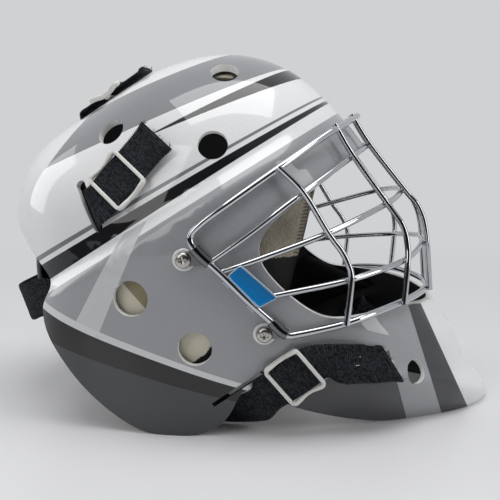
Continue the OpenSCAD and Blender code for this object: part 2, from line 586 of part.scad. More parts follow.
module chin_snaps() {
  color(chrome) for (s = sides) on(s) on_side(chin_snap, 0) {
    translate([0, 0, -wall - 2.6]) cylinder(d = 12, h = 1.4, $fn = 32);
    translate([0, 0, -wall - 6.9]) cylinder(d = stud_d, h = 4.4, $fn = 24);
    translate([0, 0, -wall - 7.4]) cylinder(d = 8.6, h = 1.5, $fn = 32);
  }
}

shell();
cage_rim();
cross_bar(bar_top);  // cage_cross_bar_top
cross_bar(bar_middle);  // cage_cross_bar_middle
cross_bar(bar_bottom);  // cage_cross_bar_bottom
for (s = sides) {
  post(post_inner, s);
  post(post_middle, s);
  post(post_outer, s);
  upper_strap(s);
  jaw_strap(s);
  on(s) on_side(upper_at, upper_angle) slider();
  on(s) on_side(jaw_at, jaw_angle) slider();
  temple_pad(s);
  jaw_pad(s);
}
cage_plate();
color(chrome) each_clip() clip();  // cage_clips
color(white) each_clip() clip_washer();  // clip_washers
color(chrome) each_clip() clip_screw();  // clip_screws
color(chrome) each_clip() clip_nut();  // clip_nuts
top_strap();
top_frame() slider();  // top_slider
back_plate();
back_pad();
neck_band();
color(cream) wall_pad(7.25, 8.35, 46, forehead_t, 8, 18, 4);  // forehead_pad
color(cream) wall_pad(8.8, 10.5, 26, crown_t, 12, 10, 2);  // crown_pad
chin_cup();
chin_sling();
chin_snaps();
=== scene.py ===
# A hockey goalie mask that lies on its cheeks and chin: a lacquered shell, a chrome wire cage, an elastic
# harness with sliders and a back plate, inner pads and a chin cup. Lengths are in millimetres until they
# reach a mesh, which is in metres.

import json
import math

import bmesh
import bpy
import numpy as np
from mathutils import Matrix, Vector

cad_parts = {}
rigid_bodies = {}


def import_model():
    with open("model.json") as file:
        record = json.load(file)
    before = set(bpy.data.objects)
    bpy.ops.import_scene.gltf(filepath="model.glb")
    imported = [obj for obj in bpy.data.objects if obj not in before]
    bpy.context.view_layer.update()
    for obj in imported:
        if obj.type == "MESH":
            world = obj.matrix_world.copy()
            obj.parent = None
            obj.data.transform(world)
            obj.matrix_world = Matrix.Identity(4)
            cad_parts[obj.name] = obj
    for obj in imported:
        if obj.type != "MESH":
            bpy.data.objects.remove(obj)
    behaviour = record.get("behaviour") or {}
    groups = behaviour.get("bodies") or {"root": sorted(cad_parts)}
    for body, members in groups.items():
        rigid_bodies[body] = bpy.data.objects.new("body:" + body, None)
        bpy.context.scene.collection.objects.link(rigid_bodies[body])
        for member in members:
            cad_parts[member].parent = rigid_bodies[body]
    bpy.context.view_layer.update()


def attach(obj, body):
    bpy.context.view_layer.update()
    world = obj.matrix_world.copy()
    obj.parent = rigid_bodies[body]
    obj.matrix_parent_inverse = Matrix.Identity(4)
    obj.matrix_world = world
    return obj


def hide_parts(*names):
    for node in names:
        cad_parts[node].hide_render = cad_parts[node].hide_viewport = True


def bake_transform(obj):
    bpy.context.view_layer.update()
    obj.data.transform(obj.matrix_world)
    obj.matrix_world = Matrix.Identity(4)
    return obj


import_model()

# The studio: a pale table top that runs up into a pale backdrop, a large soft lamp above and behind the
# camera, a weaker one from the right and one from behind. The camera looks at the mask's right side from
# a little above it and a little in front of its middle.
camera_turn = math.radians(6.1)
camera_dip = math.radians(9.4)
camera_place = Vector((0.0585, -0.540, 0.187))
ahead = Vector((-math.sin(camera_turn) * math.cos(camera_dip), math.cos(camera_turn) * math.cos(camera_dip),
                -math.sin(camera_dip)))
camera_data = bpy.data.cameras.new("camera")
camera_data.sensor_width = 36
camera_data.lens = 57.6
camera_data.clip_end = 20
camera = bpy.data.objects.new("camera", camera_data)
camera.matrix_world = Matrix.Translation(camera_place) @ ahead.to_track_quat("-Z", "Y").to_matrix().to_4x4()
bpy.context.scene.collection.objects.link(camera)
bpy.context.scene.camera = camera
bpy.context.scene.view_settings.view_transform = "Standard"


def linear(colour):
    """The linear values of an sRGB hex colour: each channel's gamma curve undone, with alpha 1."""
    c = np.array([int(colour[i:i + 2], 16) for i in (1, 3, 5)]) / 255
    c = np.where(c <= 0.04045, c / 12.92, ((c + 0.055) / 1.055) ** 2.4)
    return (*c.tolist(), 1.0)


def add(material, kind, sockets=None, **settings):
    """Adds one node to a material: settings are its properties, sockets its inputs by name or number,
    each a value or another node's output."""
    node = material.node_tree.nodes.new(kind)
    for key, value in settings.items():
        setattr(node, key, value)
    for key, value in (sockets or {}).items():
        if isinstance(value, bpy.types.NodeSocket):
            material.node_tree.links.new(value, node.inputs[key])
        else:
            node.inputs[key].default_value = value
    return node


def finish_of(name, **values):
    """A new material, with its surface shader's sockets set by name, where Base_Color is Base Color."""
    material = bpy.data.materials.new(name)
    material.use_nodes = True
    shader = material.node_tree.nodes["Principled BSDF"]
    for key, value in values.items():
        shader.inputs[key.replace("_", " ")].default_value = value
    return material


def drive(material, socket, output):
    """Leads a node's output to a socket of the material's surface shader."""
    shader = material.node_tree.nodes["Principled BSDF"]
    material.node_tree.links.new(output, shader.inputs[socket])


def piece_of(name, points, faces, material=None, smooth=True):
    """A mesh object from points in millimetres and a list of arrays of faces, each row one face."""
    mesh = bpy.data.meshes.new(name)
    corners = np.concatenate([np.asarray(f).ravel() for f in faces]).astype(np.int32)
    sizes = np.concatenate([np.full(len(f), np.asarray(f).shape[1]) for f in faces])
    mesh.vertices.add(len(points))
    mesh.vertices.foreach_set("co", (np.asarray(points, float) / 1000).ravel())
    mesh.loops.add(len(corners))
    mesh.loops.foreach_set("vertex_index", corners)
    mesh.polygons.add(len(sizes))
    mesh.polygons.foreach_set("loop_start", np.concatenate([[0], np.cumsum(sizes)[:-1]]).astype(np.int32))
    mesh.polygons.foreach_set("use_smooth", np.full(len(sizes), smooth))
    mesh.update(calc_edges=True)
    mesh.validate()
    if material:
        mesh.materials.append(material)
    piece = bpy.data.objects.new(name, mesh)
    bpy.context.scene.collection.objects.link(piece)
    return piece


# Table and backdrop in one sheet: flat, then a quarter circle, then upright.
table_near, table_far, table_half, backdrop_top, bend_radius = -1600.0, 1500.0, 4000.0, 4000.0, 700.0
bend = np.radians(np.linspace(0, 90, 24))
studio_line = np.concatenate([[[table_near, 0.0], [table_far, 0.0]],
                              np.stack([table_far + bend_radius * np.sin(bend),
                                        bend_radius - bend_radius * np.cos(bend)], axis=1)[1:],
                              [[table_far + bend_radius, backdrop_top]]])
studio_points = np.array([[x, y, z] for x in (-table_half, table_half) for y, z in studio_line])
n = len(studio_line)
studio_faces = np.array([[i, n + i, n + i + 1, i + 1] for i in range(n - 1)])
table_top = finish_of("table_pale_satin_laminate", Roughness=0.34, IOR=1.45)
grain = add(table_top, "ShaderNodeTexNoise", {"Scale": 3.0, "Detail": 2.0})
tone = add(table_top, "ShaderNodeMix", {0: grain.outputs[0], 6: linear("#d6d6d8"), 7: linear("#dededf")},
           data_type="RGBA")
drive(table_top, "Base Color", tone.outputs[2])
# Seen by the camera or in a mirror, the far end of the table and the backdrop are an even pale grey, which
# takes over between these distances in metres from the mask.
glow_from, glow_full = 0.26, 0.75
paths = add(table_top, "ShaderNodeLightPath").outputs
seen = paths["Is Camera Ray"]
for path in ("Is Glossy Ray", "Is Transmission Ray"):
    seen = add(table_top, "ShaderNodeMath", {0: seen, 1: paths[path]}, operation="ADD").outputs[0]
far = add(table_top, "ShaderNodeTexCoord").outputs["Object"]
far = add(table_top, "ShaderNodeVectorMath", {0: far, 1: (1.0, 1.0, 0.0)}, operation="MULTIPLY")
far = add(table_top, "ShaderNodeVectorMath", {0: far.outputs[0]}, operation="LENGTH")
far = add(table_top, "ShaderNodeMapRange", {0: far.outputs["Value"], 1: glow_from, 2: glow_full},
          interpolation_type="SMOOTHSTEP")
share = add(table_top, "ShaderNodeMath", {0: far.outputs[0], 1: seen}, operation="MULTIPLY", use_clamp=True)
glow = add(table_top, "ShaderNodeEmission", {"Color": linear("#cfd1d3"), "Strength": 1.0})
laminate = table_top.node_tree.nodes["Principled BSDF"].outputs[0]
mixed = add(table_top, "ShaderNodeMixShader", {0: share.outputs[0], 1: laminate, 2: glow.outputs[0]})
surface = table_top.node_tree.nodes["Material Output"].inputs["Surface"]
table_top.node_tree.links.new(mixed.outputs[0], surface)
studio = piece_of("studio_table", studio_points, [studio_faces], table_top)


def lamp(name, place, target, size, watts, colour="#ffffff"):
    """A square soft lamp at place that faces target, both in metres."""
    data = bpy.data.lights.new(name, "AREA")
    data.shape = "RECTANGLE"
    data.size, data.size_y = size
    data.energy = watts
    data.color = linear(colour)[:3]
    light = bpy.data.objects.new(name, data)
    turn = (Vector(target) - Vector(place)).to_track_quat("-Z", "Y").to_matrix().to_4x4()
    light.matrix_world = Matrix.Translation(place) @ turn
    bpy.context.scene.collection.objects.link(light)


lamp("lamp_above", (0.05, -0.15, 1.25), (0.0, 0.0, 0.05), (1.2, 0.7), 9.5)
lamp("lamp_front", (-0.9, -1.3, 0.9), (0.0, 0.0, 0.1), (0.7, 1.0), 5.5)
lamp("lamp_right", (1.5, -0.5, 0.6), (0.0, 0.0, 0.12), (0.5, 1.1), 6)
lamp("lamp_left", (-1.5, 0.2, 0.7), (0.0, 0.0, 0.12), (0.6, 1.0), 4)
world = bpy.data.worlds.new("studio_air")
bpy.context.scene.world = world
world.use_nodes = True
# The dark half of the room lies behind the camera, below the lamps: metal and lacquer show it as the dark
# core between two highlights.
parted = add(world, "ShaderNodeSeparateXYZ", {0: add(world, "ShaderNodeTexCoord").outputs["Generated"]})
behind = add(world, "ShaderNodeMapRange", {0: parted.outputs["Y"], 1: -0.02, 2: -0.3})
low = add(world, "ShaderNodeMapRange", {0: parted.outputs["Z"], 1: 0.8, 2: 0.55})
dark = add(world, "ShaderNodeMath", {0: behind.outputs[0], 1: low.outputs[0]}, operation="MULTIPLY")
room = add(world, "ShaderNodeMix", {0: dark.outputs[0], 6: linear("#f8f9fb"), 7: linear("#2c2c2e")},
           data_type="RGBA")
world.node_tree.links.new(room.outputs[2], world.node_tree.nodes["Background"].inputs["Color"])
world.node_tree.nodes["Background"].inputs["Strength"].default_value = 0.58

# The shell: fibreglass laminate moulded in one piece, painted and clear-coated outside, bare and dark
# inside, with every cut edge showing the white gel coat but the strap cuts in the cheeks, whose walls take
# the dark inside finish as painted shade. A raised ridge parts the crown from the cheek plates, and the
# holes, slots and strap cuts are machined through it.
outline = np.array([
    [163, 3, 2.2, 1.55], [151, 23, 2.2, 1.7], [138, 48, 2.3, 1.9], [124, 70, 2.4, 2], [117, 95, 2.4, 2],
    [104, 126, 2.2, 2], [84, 158, 2.1, 2], [62, 187, 2.2, 2], [28, 217, 2.5, 2], [-12, 228, 2.7, 2],
    [-57, 219, 2.7, 2], [-100, 194, 2.7, 2], [-141, 165, 2.6, 2], [-157, 130, 2.5, 2], [-152, 88, 2.9, 2],
    [-155, 20, 3, 2], [-120, -60, 3, 2], [-60, -110, 3, 2], [0, -110, 2.8, 1.8], [60, -75, 2.4, 1.6],
    [110, -45, 2.2, 1.5], [148, -20, 2.2, 1.5]], float)
form_centre = np.array([-22.0, 88.0])
half_width = 92.0
wall = 4.0
ridge_height, ridge_width = 7.0, 12.0
ridge_at, ridge_slope = (-109.0, 86.0), math.radians(32)


def cubic(a, b, c, d, u):
    """Catmull-Rom cubic from b to c, at u in 0..1: its slope at each of them is half the chord from the
    point before it to the point after it."""
    return 0.5 * (2 * b + (c - a) * u + (2 * a - 5 * b + 4 * c - d) * u ** 2
                  + (3 * b - a - 3 * c + d) * u ** 3)


def closed_curve(points, steps):
    """Smooth curve through a ring of points, in equal steps of the cubics between them."""
    u = (np.arange(steps) / steps)[None, :, None]
    curve = cubic(*(np.roll(points, shift, axis=0)[:, None, :] for shift in (1, 0, -1, -2)), u)
    return curve.reshape(-1, points.shape[1])


def ease(u):
    """Smooth step: 0 below 0, 1 above 1, and 3u^2 - 2u^3 between."""
    v = np.clip(u, 0, 1)
    return v * v * (3 - 2 * v)


def above_ridge(x, z):
    """Distance above the ridge line in the side view, negative on the cheek plate."""
    return (z - ridge_at[1]) * math.cos(ridge_slope) - (x - ridge_at[0]) * math.sin(ridge_slope)


def ridge_step(x, z, share):
    """How far the cheek plate stands out, where share is the share of the half width there."""
    return ridge_height * ease(0.5 - above_ridge(x, z) / ridge_width) * ease((np.abs(share) - 0.5) / 0.4)


rim_line = closed_curve(outline, 24)
rim_turn = np.unwrap(np.arctan2(rim_line[:, 1] - form_centre[1], rim_line[:, 0] - form_centre[0]))
rim_start = rim_turn[0]
rim_turn = np.append(rim_turn - rim_start, 2 * math.pi)
rim_size = np.column_stack([np.hypot(*(rim_line[:, :2] - form_centre).T), rim_line[:, 2:]])
rim_size = np.concatenate([rim_size, rim_size[:1]])


def rim_at(x, z):
    """Radius, fullness and roundness of the outline in the direction of x, z from the form's centre."""
    turn = (np.arctan2(z - form_centre[1], x - form_centre[0]) - rim_start) % (2 * math.pi)
    return [np.interp(turn, rim_turn, rim_size[:, i]) for i in range(3)]


def side_y(x, z, inset=0.0):
    """Half width of the form at x, z of the side view, inset from the outside: with q the share of the
    outline's radius, the superellipse q^fullness + share^roundness = 1 gives the share of the half width."""
    radius, fullness, roundness = rim_at(x, z)
    q = np.minimum(1, np.hypot(x - form_centre[0], z - form_centre[1]) / (radius - inset))
    share = (1 - q ** fullness) ** (1 / roundness)
    return share * (half_width - inset) + ridge_step(x, z, share)


def form_level(p):
    """Below 0 inside the form and above it outside: q^fullness + share^roundness - 1 at the points p."""
    x, y, z = p.T
    radius, fullness, roundness = rim_at(x, z)
    q = np.hypot(x - form_centre[0], z - form_centre[1]) / radius
    share = (1 - np.minimum(1, q) ** fullness) ** (1 / roundness)
    width = np.maximum(np.abs(y) - ridge_step(x, z, share), 0) / half_width
    return q ** fullness + width ** roundness - 1


def form_normal(p, h=0.4):
    """Outward normals of the form at the points p: the gradient of its level, by central differences."""
    grad = np.stack([form_level(p + h * e) - form_level(p - h * e) for e in np.eye(3)], axis=1)
    return grad / np.maximum(np.linalg.norm(grad, axis=1, keepdims=True), 1e-9)


def sweep_faces(rings, corners, closed=False):
    """Quads between neighbouring rings of a swept skin, each ring a closed loop of corners."""
    i, j = np.meshgrid(np.arange(rings if closed else rings - 1), np.arange(corners), indexing="ij")
    near, far = i * corners, (i + 1) % rings * corners
    k = (j + 1) % corners
    return np.stack([near + j, far + j, far + k, near + k], axis=-1).reshape(-1, 4)


def capped_faces(rings, corners):
    """Faces of a swept skin with a point at each end, the last two of its points: the quads between its
    rings, and a fan of triangles from each point to the ring beside it."""
    i = np.arange(corners)
    j = (i + 1) % corners
    first, last = rings * corners, (rings - 1) * corners
    return [sweep_faces(rings, corners),
            np.concatenate([np.stack([np.full(corners, first), i, j], axis=1),
                            np.stack([np.full(corners, first + 1), last + j, last + i], axis=1)])]


def form_place(line, t, inset):
    """Points of the form, inset from the outside, at an outline's x, z, fullness and roundness and an angle
    t from the middle plane: cos(t)^(2/fullness) scales the outline about the centre, and
    sin(t)^(2/roundness) gives the share of the half width."""
    way = line[..., :2] - form_centre
    way = way * (1 - inset / np.hypot(way[..., 0], way[..., 1]))[..., None]
    way = way * (np.cos(t) ** (2 / line[..., 2]))[..., None]
    x, z = form_centre[0] + way[..., 0], form_centre[1] + way[..., 1]
    share = np.abs(np.sin(t)) ** (2 / line[..., 3])
    return np.stack([x, np.sign(t) * (share * (half_width - inset) + ridge_step(x, z, share)), z], axis=-1)


def form_skin(inset, steps, rows):
    """Points and faces of the closed form, inset from the outside: rings round the outline at angles from
    90 to -90 degrees, and one point at each side's pole."""
    line = closed_curve(outline, steps)
    t = np.radians(np.linspace(90, -90, 2 * rows + 1)[1:-1])[:, None]
    pole_y = half_width - inset + ridge_step(*form_centre, 1.0)
    poles = [[form_centre[0], s * pole_y, form_centre[1]] for s in (1, -1)]
    points = np.concatenate([form_place(line, t, inset).reshape(-1, 3), poles])
    return points, capped_faces(2 * rows - 1, len(line))


def outward(x, z):
    """Outward direction of the left side at x, z of the side view, from the half width's slope."""
    h = 3.0
    n = np.array([-(side_y(x + h, z) - side_y(x - h, z)) / (2 * h), 1.0,
                  -(side_y(x, z + h) - side_y(x, z - h)) / (2 * h)])
    return n / np.linalg.norm(n)


def along_side(x, z, angle):
    """Direction on the left side's surface that the side view shows at an angle in degrees."""
    n, a = outward(x, z), math.radians(angle)
    v = np.array([math.cos(a), -(n[0] * math.cos(a) + n[2] * math.sin(a)) / n[1], math.sin(a)])
    return v / np.linalg.norm(v)


def side_place(at, angle, side=1):
    """Frame on a side of the shell: its rows are the directions along, across and out, then the place.
    side is 1 on the left and -1 on the right, where the frame is mirrored."""
    n, u = outward(*at), along_side(*at, angle)
    place = np.array([u, np.cross(n, u), n, [at[0], side_y(*at), at[1]]])
    return place * np.array([1, side, 1])


def carried(points, place):
    """Points a, b, c of a frame as x, y, z."""
    return np.asarray(points, float) @ place[:3] + place[3]


def rounded(points, radius, steps=6):
    """The closed polygon with its corners cut by quadratic curves that start radius before a corner, or
    half way to the next one."""
    p = np.asarray(points, float)
    before, after = np.roll(p, 1, axis=0) - p, np.roll(p, -1, axis=0) - p
    a, b = (p + v * np.minimum(radius / np.linalg.norm(v, axis=1), 0.5)[:, None] for v in (before, after))
    u = np.linspace(0, 1, steps + 1)[None, :, None]
    return ((1 - u) ** 2 * a[:, None] + 2 * u * (1 - u) * p[:, None] + u * u * b[:, None]).reshape(-1, 2)


def prism(shape, place, low, high):
    """A closed prism: a flat outline in a frame's first two directions, carried from low to high along
    the third."""
    count = len(shape)
    flat = np.asarray(shape, float)
    points = carried(np.concatenate([np.column_stack([flat, np.full(count, c)]) for c in (low, high)]), place)
    i = np.arange(count)
    j = (i + 1) % count
    return points, [np.stack([i, j, count + j, count + i], axis=1), i[::-1][None], (count + i)[None]]


def joined(parts):
    """Several sets of points and faces as one."""
    points, faces, start = [], [], 0
    for p, f in parts:
        points.append(p)
        faces += [np.asarray(g) + start for g in f]
        start += len(p)
    return np.concatenate(points), faces


def circle(diameter, sides=72):
    """A regular polygon as a circle."""
    a = np.linspace(0, 2 * math.pi, sides, endpoint=False)
    return diameter / 2 * np.column_stack([np.cos(a), np.sin(a)])


def oblong(length, width, radius, steps=6):
    """A rectangle about the origin with rounded corners."""
    a = np.radians(np.concatenate([90 * c + np.linspace(0, 90, steps + 1) for c in range(4)]))
    corner = np.repeat([[1, 1], [-1, 1], [-1, -1], [1, -1]], steps + 1, axis=0)
    centre = corner * [length / 2 - radius, width / 2 - radius]
    return centre + radius * np.column_stack([np.cos(a), np.sin(a)])


# Lower edge, face opening, holes and slots, as x, z of the side view.
lower_edge = [[-220, 182], [-162, 130], [-112, 87.5], [-119.5, 74], [-119, 66], [-115, 56], [-104, 41.5],
              [-94, 29.5], [-82, 18.5], [-69, 9], [-57, 2.6], [-48, 0], [-22, 0], [-13, 3.4], [-3, 10],
              [4, 24.5], [6.2, 28], [9, 29.3], [20, 33], [32, 19], [44, 14], [58, 9], [74, 4], [92, 0],
              [240, 0], [240, -160], [-240, -160]]
face_edge = [[240, 62], [124, 69], [106, 73], [86, 73], [64, 72], [54, 73], [45, 77.5], [35.5, 84.5],
             [26.5, 93], [18.5, 102], [15.5, 110], [16, 117.5], [21.5, 126], [30, 133.5], [41, 142],
             [58, 154], [75, 166], [240, 262]]
corner_cut = 9
vent_size, screw_size = 17.6, 4.5
vent_top = (-10.0, 44.0)
clip_high, clip_low = (-26.5, 107.3), (19.4, 64.8)
round_holes = {"ear_front": ((-20.8, 54.7), 20), "ear_rear": ((-58.5, 83.5), 21),
               "vent_side": ((-12.4, 171.5), vent_size), "vent_rear": ((-77.5, 178.5), vent_size),
               "chin": ((109.5, 34.0), 15), "clip_high": (clip_high, screw_size),
               "clip_low": (clip_low, screw_size)}
upper_slot, upper_slot_angle, upper_slot_shape = (-87.0, 135.5), -61, oblong(35, 6, 2.9)
top_slot, top_slot_angle, top_slot_shape = (-113.0, 187.0), 37, oblong(6, 28, 2.5)
cheek_cut, cheek_cut_half = np.array([[-10.0, 20.8], [18.5, 40.3]]), 1.3
side_view = np.array([[1, 0, 0], [0, 0, 1], [0, -1, 0], [0, 0, 0]], float)

u = (cheek_cut[1] - cheek_cut[0]) / np.linalg.norm(cheek_cut[1] - cheek_cut[0])
v = np.array([-u[1], u[0]]) * cheek_cut_half
cut_shape = np.array([cheek_cut[0] - v - u, cheek_cut[1] - v, cheek_cut[1] + 0.6 * u, cheek_cut[1] + v,
                      cheek_cut[0] + v - u])
holes, slots = [], []
for side in (1, -1):
    for at, size in round_holes.values():
        holes.append(prism(circle(size), side_place(at, 0, side), -20, 10))
    upright = np.array([[1, 0, 0], [0, 1, 0], [0, 0, 1], [vent_top[0], side * vent_top[1], 190]])
    holes.append(prism(circle(vent_size), upright, 0, 60))
    holes.append(prism(upper_slot_shape, side_place(upper_slot, upper_slot_angle, side), -8, 8))
    slots.append(prism(cut_shape, side_view, *sorted((-side * (half_width - 20), -side * (half_width + 20)))))
tilt = math.radians(top_slot_angle)
holes.append(prism(top_slot_shape, np.array([[math.cos(tilt), 0, math.sin(tilt)], [0, 1, 0],
                                             [-math.sin(tilt), 0, math.cos(tilt)],
                                             [top_slot[0], 0, top_slot[1]]]), -12, 12))

paint = finish_of("shell_lacquer_on_paint", Roughness=0.4, Specular_IOR_Level=0.1, Coat_Weight=1.0,
                  Coat_Roughness=0.03, Coat_IOR=1.5)
bare = finish_of("shell_gel_coat_cut_edge", Roughness=0.5, Base_Color=linear("#e6e6e4"))
inner = finish_of("shell_fibreglass_inside", Roughness=0.62, Base_Color=linear("#26272a"))

outer_points, outer_faces = form_skin(0, 16, 48)
inner_points, inner_faces = form_skin(wall, 8, 24)
solid = joined([(outer_points, outer_faces), (inner_points, [f[:, ::-1] for f in inner_faces])])
shell = piece_of("shell_painted", *solid, paint)
shell.data.materials.append(inner)
inside = np.zeros(len(shell.data.polygons), np.int32)
inside[sum(len(f) for f in outer_faces):] = 1
shell.data.polygons.foreach_set("material_index", inside)
# The strap cuts in the cheeks, the last cutter, give their walls the dark inside finish: painted shade in the
# narrow slits.
cutters = [prism(rounded(lower_edge, corner_cut), side_view, -124, 124),
           prism(rounded(face_edge, corner_cut), side_view, -124, 124), joined(holes), joined(slots)]
for number, cutter in enumerate(cutters):
    tool = piece_of("cutter_%d" % number, *cutter, inner if number == 3 else bare)
    bm = bmesh.new()
    bm.from_mesh(tool.data)
    bmesh.ops.recalc_face_normals(bm, faces=bm.faces)
    bm.to_mesh(tool.data)
    bm.free()
    cut = shell.modifiers.new("cut_%d" % number, "BOOLEAN")
    cut.object = tool
    cut.operation = "DIFFERENCE"
    cut.solver = "EXACT"
    cut.material_mode = "TRANSFER"
depsgraph = bpy.context.evaluated_depsgraph_get()
cut_mesh = bpy.data.meshes.new_from_object(shell.evaluated_get(depsgraph))
shell.modifiers.clear()
shell.data = cut_mesh
for number in range(len(cutters)):
    bpy.data.objects.remove(bpy.data.objects["cutter_%d" % number])
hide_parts("shell")
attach(shell, "shell")

# The paint, in plain bands of white, silver, grey and black. A band is a convex field of the side view,
# and the shader finds the distance inside it from the lines of its edges, so that it is sharp at any size.
# Most are given by the distance along the ridge and above it.
def ridge_places(points):
    """Places s along the ridge and d above it as x, z of the side view."""
    c, s = math.cos(ridge_slope), math.sin(ridge_slope)
    return np.asarray(points, float) @ [[c, s], [-s, c]] + ridge_at


def level_in(material, place, field):
    """A node output with the distance in metres inside a convex field of the side view: the least of the
    distances to its edges' lines, each the dot product of the place with the edge's inward normal."""
    p = np.asarray(field, float) / 1000
    q = np.roll(p, -1, axis=0)
    turn = np.sign(np.sum(p[:, 0] * q[:, 1] - p[:, 1] * q[:, 0]))
    e = (q - p) / np.linalg.norm(q - p, axis=1, keepdims=True) * turn
    level = None
    for (along, up), start in zip(e, p):
        side = add(material, "ShaderNodeVectorMath", {0: place, 1: (-up, 0, along)}, operation="DOT_PRODUCT")
        side = add(material, "ShaderNodeMath", {0: side.outputs["Value"],
                                                1: -(along * start[1] - up * start[0])},
                   operation="ADD").outputs[0]
        level = side if level is None else add(material, "ShaderNodeMath", {0: level, 1: side},
                                               operation="MINIMUM").outputs[0]
    return level


bands = [
    ("#9a9c9f", [[-200, 28], [62, 191.7], [240, 191], [240, -80], [-200, -80]]),
    ("#c6c8ca", [[-64, 120], [-50, 128], [-92, 30], [-112, 34]]),
    ("#85878a", ridge_places([[26, 66], [192, 40], [214, 58], [64, 84]])),
    ("#141517", ridge_places([[92, 47], [214, 26], [214, 37]])),
    ("#141517", ridge_places([[-70, 5], [205, 7.5], [205, 9.5], [-70, 18]])),
    ("#77797c", ridge_places([[-70, 21], [205, 12], [205, 13.2], [-70, 24.5]])),
    ("#d4d5d6", [[-200, 104], [46, 20], [46, -60], [-200, -60]]),
    ("#141517", [[-200, 98], [46, 17], [46, -60], [-200, -60]]),
    ("#3d3f42", [[-200, 75], [46, 11], [46, -60], [-200, -60]]),
    ("#434447", [[32, 17], [66, 44], [92, 50], [122, -60], [32, -60]]),
    ("#35363a", [[98.7, 90], [104.4, 90], [156.8, -20], [135.3, -20]]),
    ("#e3e4e5", [[104.4, 90], [156.8, -20], [220, -20], [220, 90]]),
]
band_place = add(paint, "ShaderNodeTexCoord").outputs["Object"]
colour = linear("#e3e4e5")
for tint, field in bands:
    level = level_in(paint, band_place, field)
    inside_it = add(paint, "ShaderNodeMapRange", {0: level, 1: -0.0001, 2: 0.0001})
    colour = add(paint, "ShaderNodeMix", {0: inside_it.outputs[0], 6: colour, 7: linear(tint)},
                 data_type="RGBA").outputs[2]
# Metal flake in the paint, about 0.4 mm a grain: each grain is a little lighter or darker.
flake = add(paint, "ShaderNodeTexVoronoi", {"Vector": band_place, "Scale": 2600.0})
flake = add(paint, "ShaderNodeMapRange", {0: flake.outputs["Color"], 3: 0.93, 4: 1.05})
colour = add(paint, "ShaderNodeVectorMath", {0: colour, "Scale": flake.outputs[0]}, operation="SCALE")
drive(paint, "Base Color", colour.outputs[0])
# Orange peel of the clear coat: waves about 3 mm long and a few hundredths high.
peel = add(paint, "ShaderNodeTexNoise", {"Vector": band_place, "Scale": 300.0, "Detail": 1.0})
peel = add(paint, "ShaderNodeBump", {"Strength": 0.10, "Distance": 0.00005, "Height": peel.outputs[0]})
drive(paint, "Coat Normal", peel.outputs[0])

# Smooth normals on the painted skin and on the inner wall, and sharp ones on the cut edges.
place = np.empty(len(cut_mesh.vertices) * 3)
cut_mesh.vertices.foreach_get("co", place)
place = place.reshape(-1, 3) * 1000
corner_total = len(cut_mesh.loops)
corner_vertex = np.empty(corner_total, np.int32)
cut_mesh.loops.foreach_get("vertex_index", corner_vertex)
face_total = len(cut_mesh.polygons)
face_slot, face_size = np.empty(face_total, np.int32), np.empty(face_total, np.int32)
cut_mesh.polygons.foreach_get("material_index", face_slot)
cut_mesh.polygons.foreach_get("loop_total", face_size)
cut_mesh.polygons.foreach_set("use_smooth", np.ones(face_total, bool))
corner_slot = np.repeat(face_slot, face_size)
normal = form_normal(place)
names = [m.name for m in cut_mesh.materials]
corner_normal = np.zeros((corner_total, 3))
for material, sign in ((paint, 1), (inner, -1)):
    here = corner_slot == names.index(material.name)
    corner_normal[here] = sign * normal[corner_vertex[here]]
cut_mesh.set_sharp_from_angle(angle=math.radians(35))
cut_mesh.normals_split_custom_set(corner_normal.tolist())

# The cage: carbon steel wire, bent and welded, then bright chrome plated. A thicker rim wire carries
# three cross bars and three posts a side.
def open_curve(points, steps):
    """Catmull-Rom curve through a row of points, which ends at the first and the last."""
    p = np.asarray(points, float)
    ring = closed_curve(np.concatenate([p[:1], p, p[-1:]]), steps)
    return np.concatenate([ring[steps:steps * len(p)], p[-1:]])


def swept(line, across, section, closed=False, leaning=False):
    """Skin of a section carried along a line. At each point the section's first axis lies nearest to the
    width direction across, or along it if leaning, and its second is square to that and to the line. An
    open skin has end caps. section is one outline for all points, or one for each."""
    line = np.asarray(line, float)
    if closed:
        along = np.roll(line, -1, axis=0) - np.roll(line, 1, axis=0)
    else:
        along = np.gradient(line, axis=0)
    along /= np.linalg.norm(along, axis=1, keepdims=True)
    out = np.cross(along, across)
    out /= np.linalg.norm(out, axis=1, keepdims=True)
    right = across / np.linalg.norm(across, axis=1, keepdims=True) if leaning else np.cross(out, along)
    section = np.asarray(section, float)
    if section.ndim == 2:
        section = np.broadcast_to(section, (len(line), *section.shape))
    points = line[:, None] + right[:, None] * section[..., :1] + out[:, None] * section[..., 1:]
    rings, corners = section.shape[:2]
    faces = [sweep_faces(rings, corners, closed)[:, ::-1]]
    if not closed:
        faces += [np.arange(corners)[None], (rings - 1) * corners + np.arange(corners)[None, ::-1]]
    return points.reshape(-1, 3), faces


def mirrored(points):
    """The same points on the other side of the middle plane."""
    return np.asarray(points, float) * [1, -1, 1]


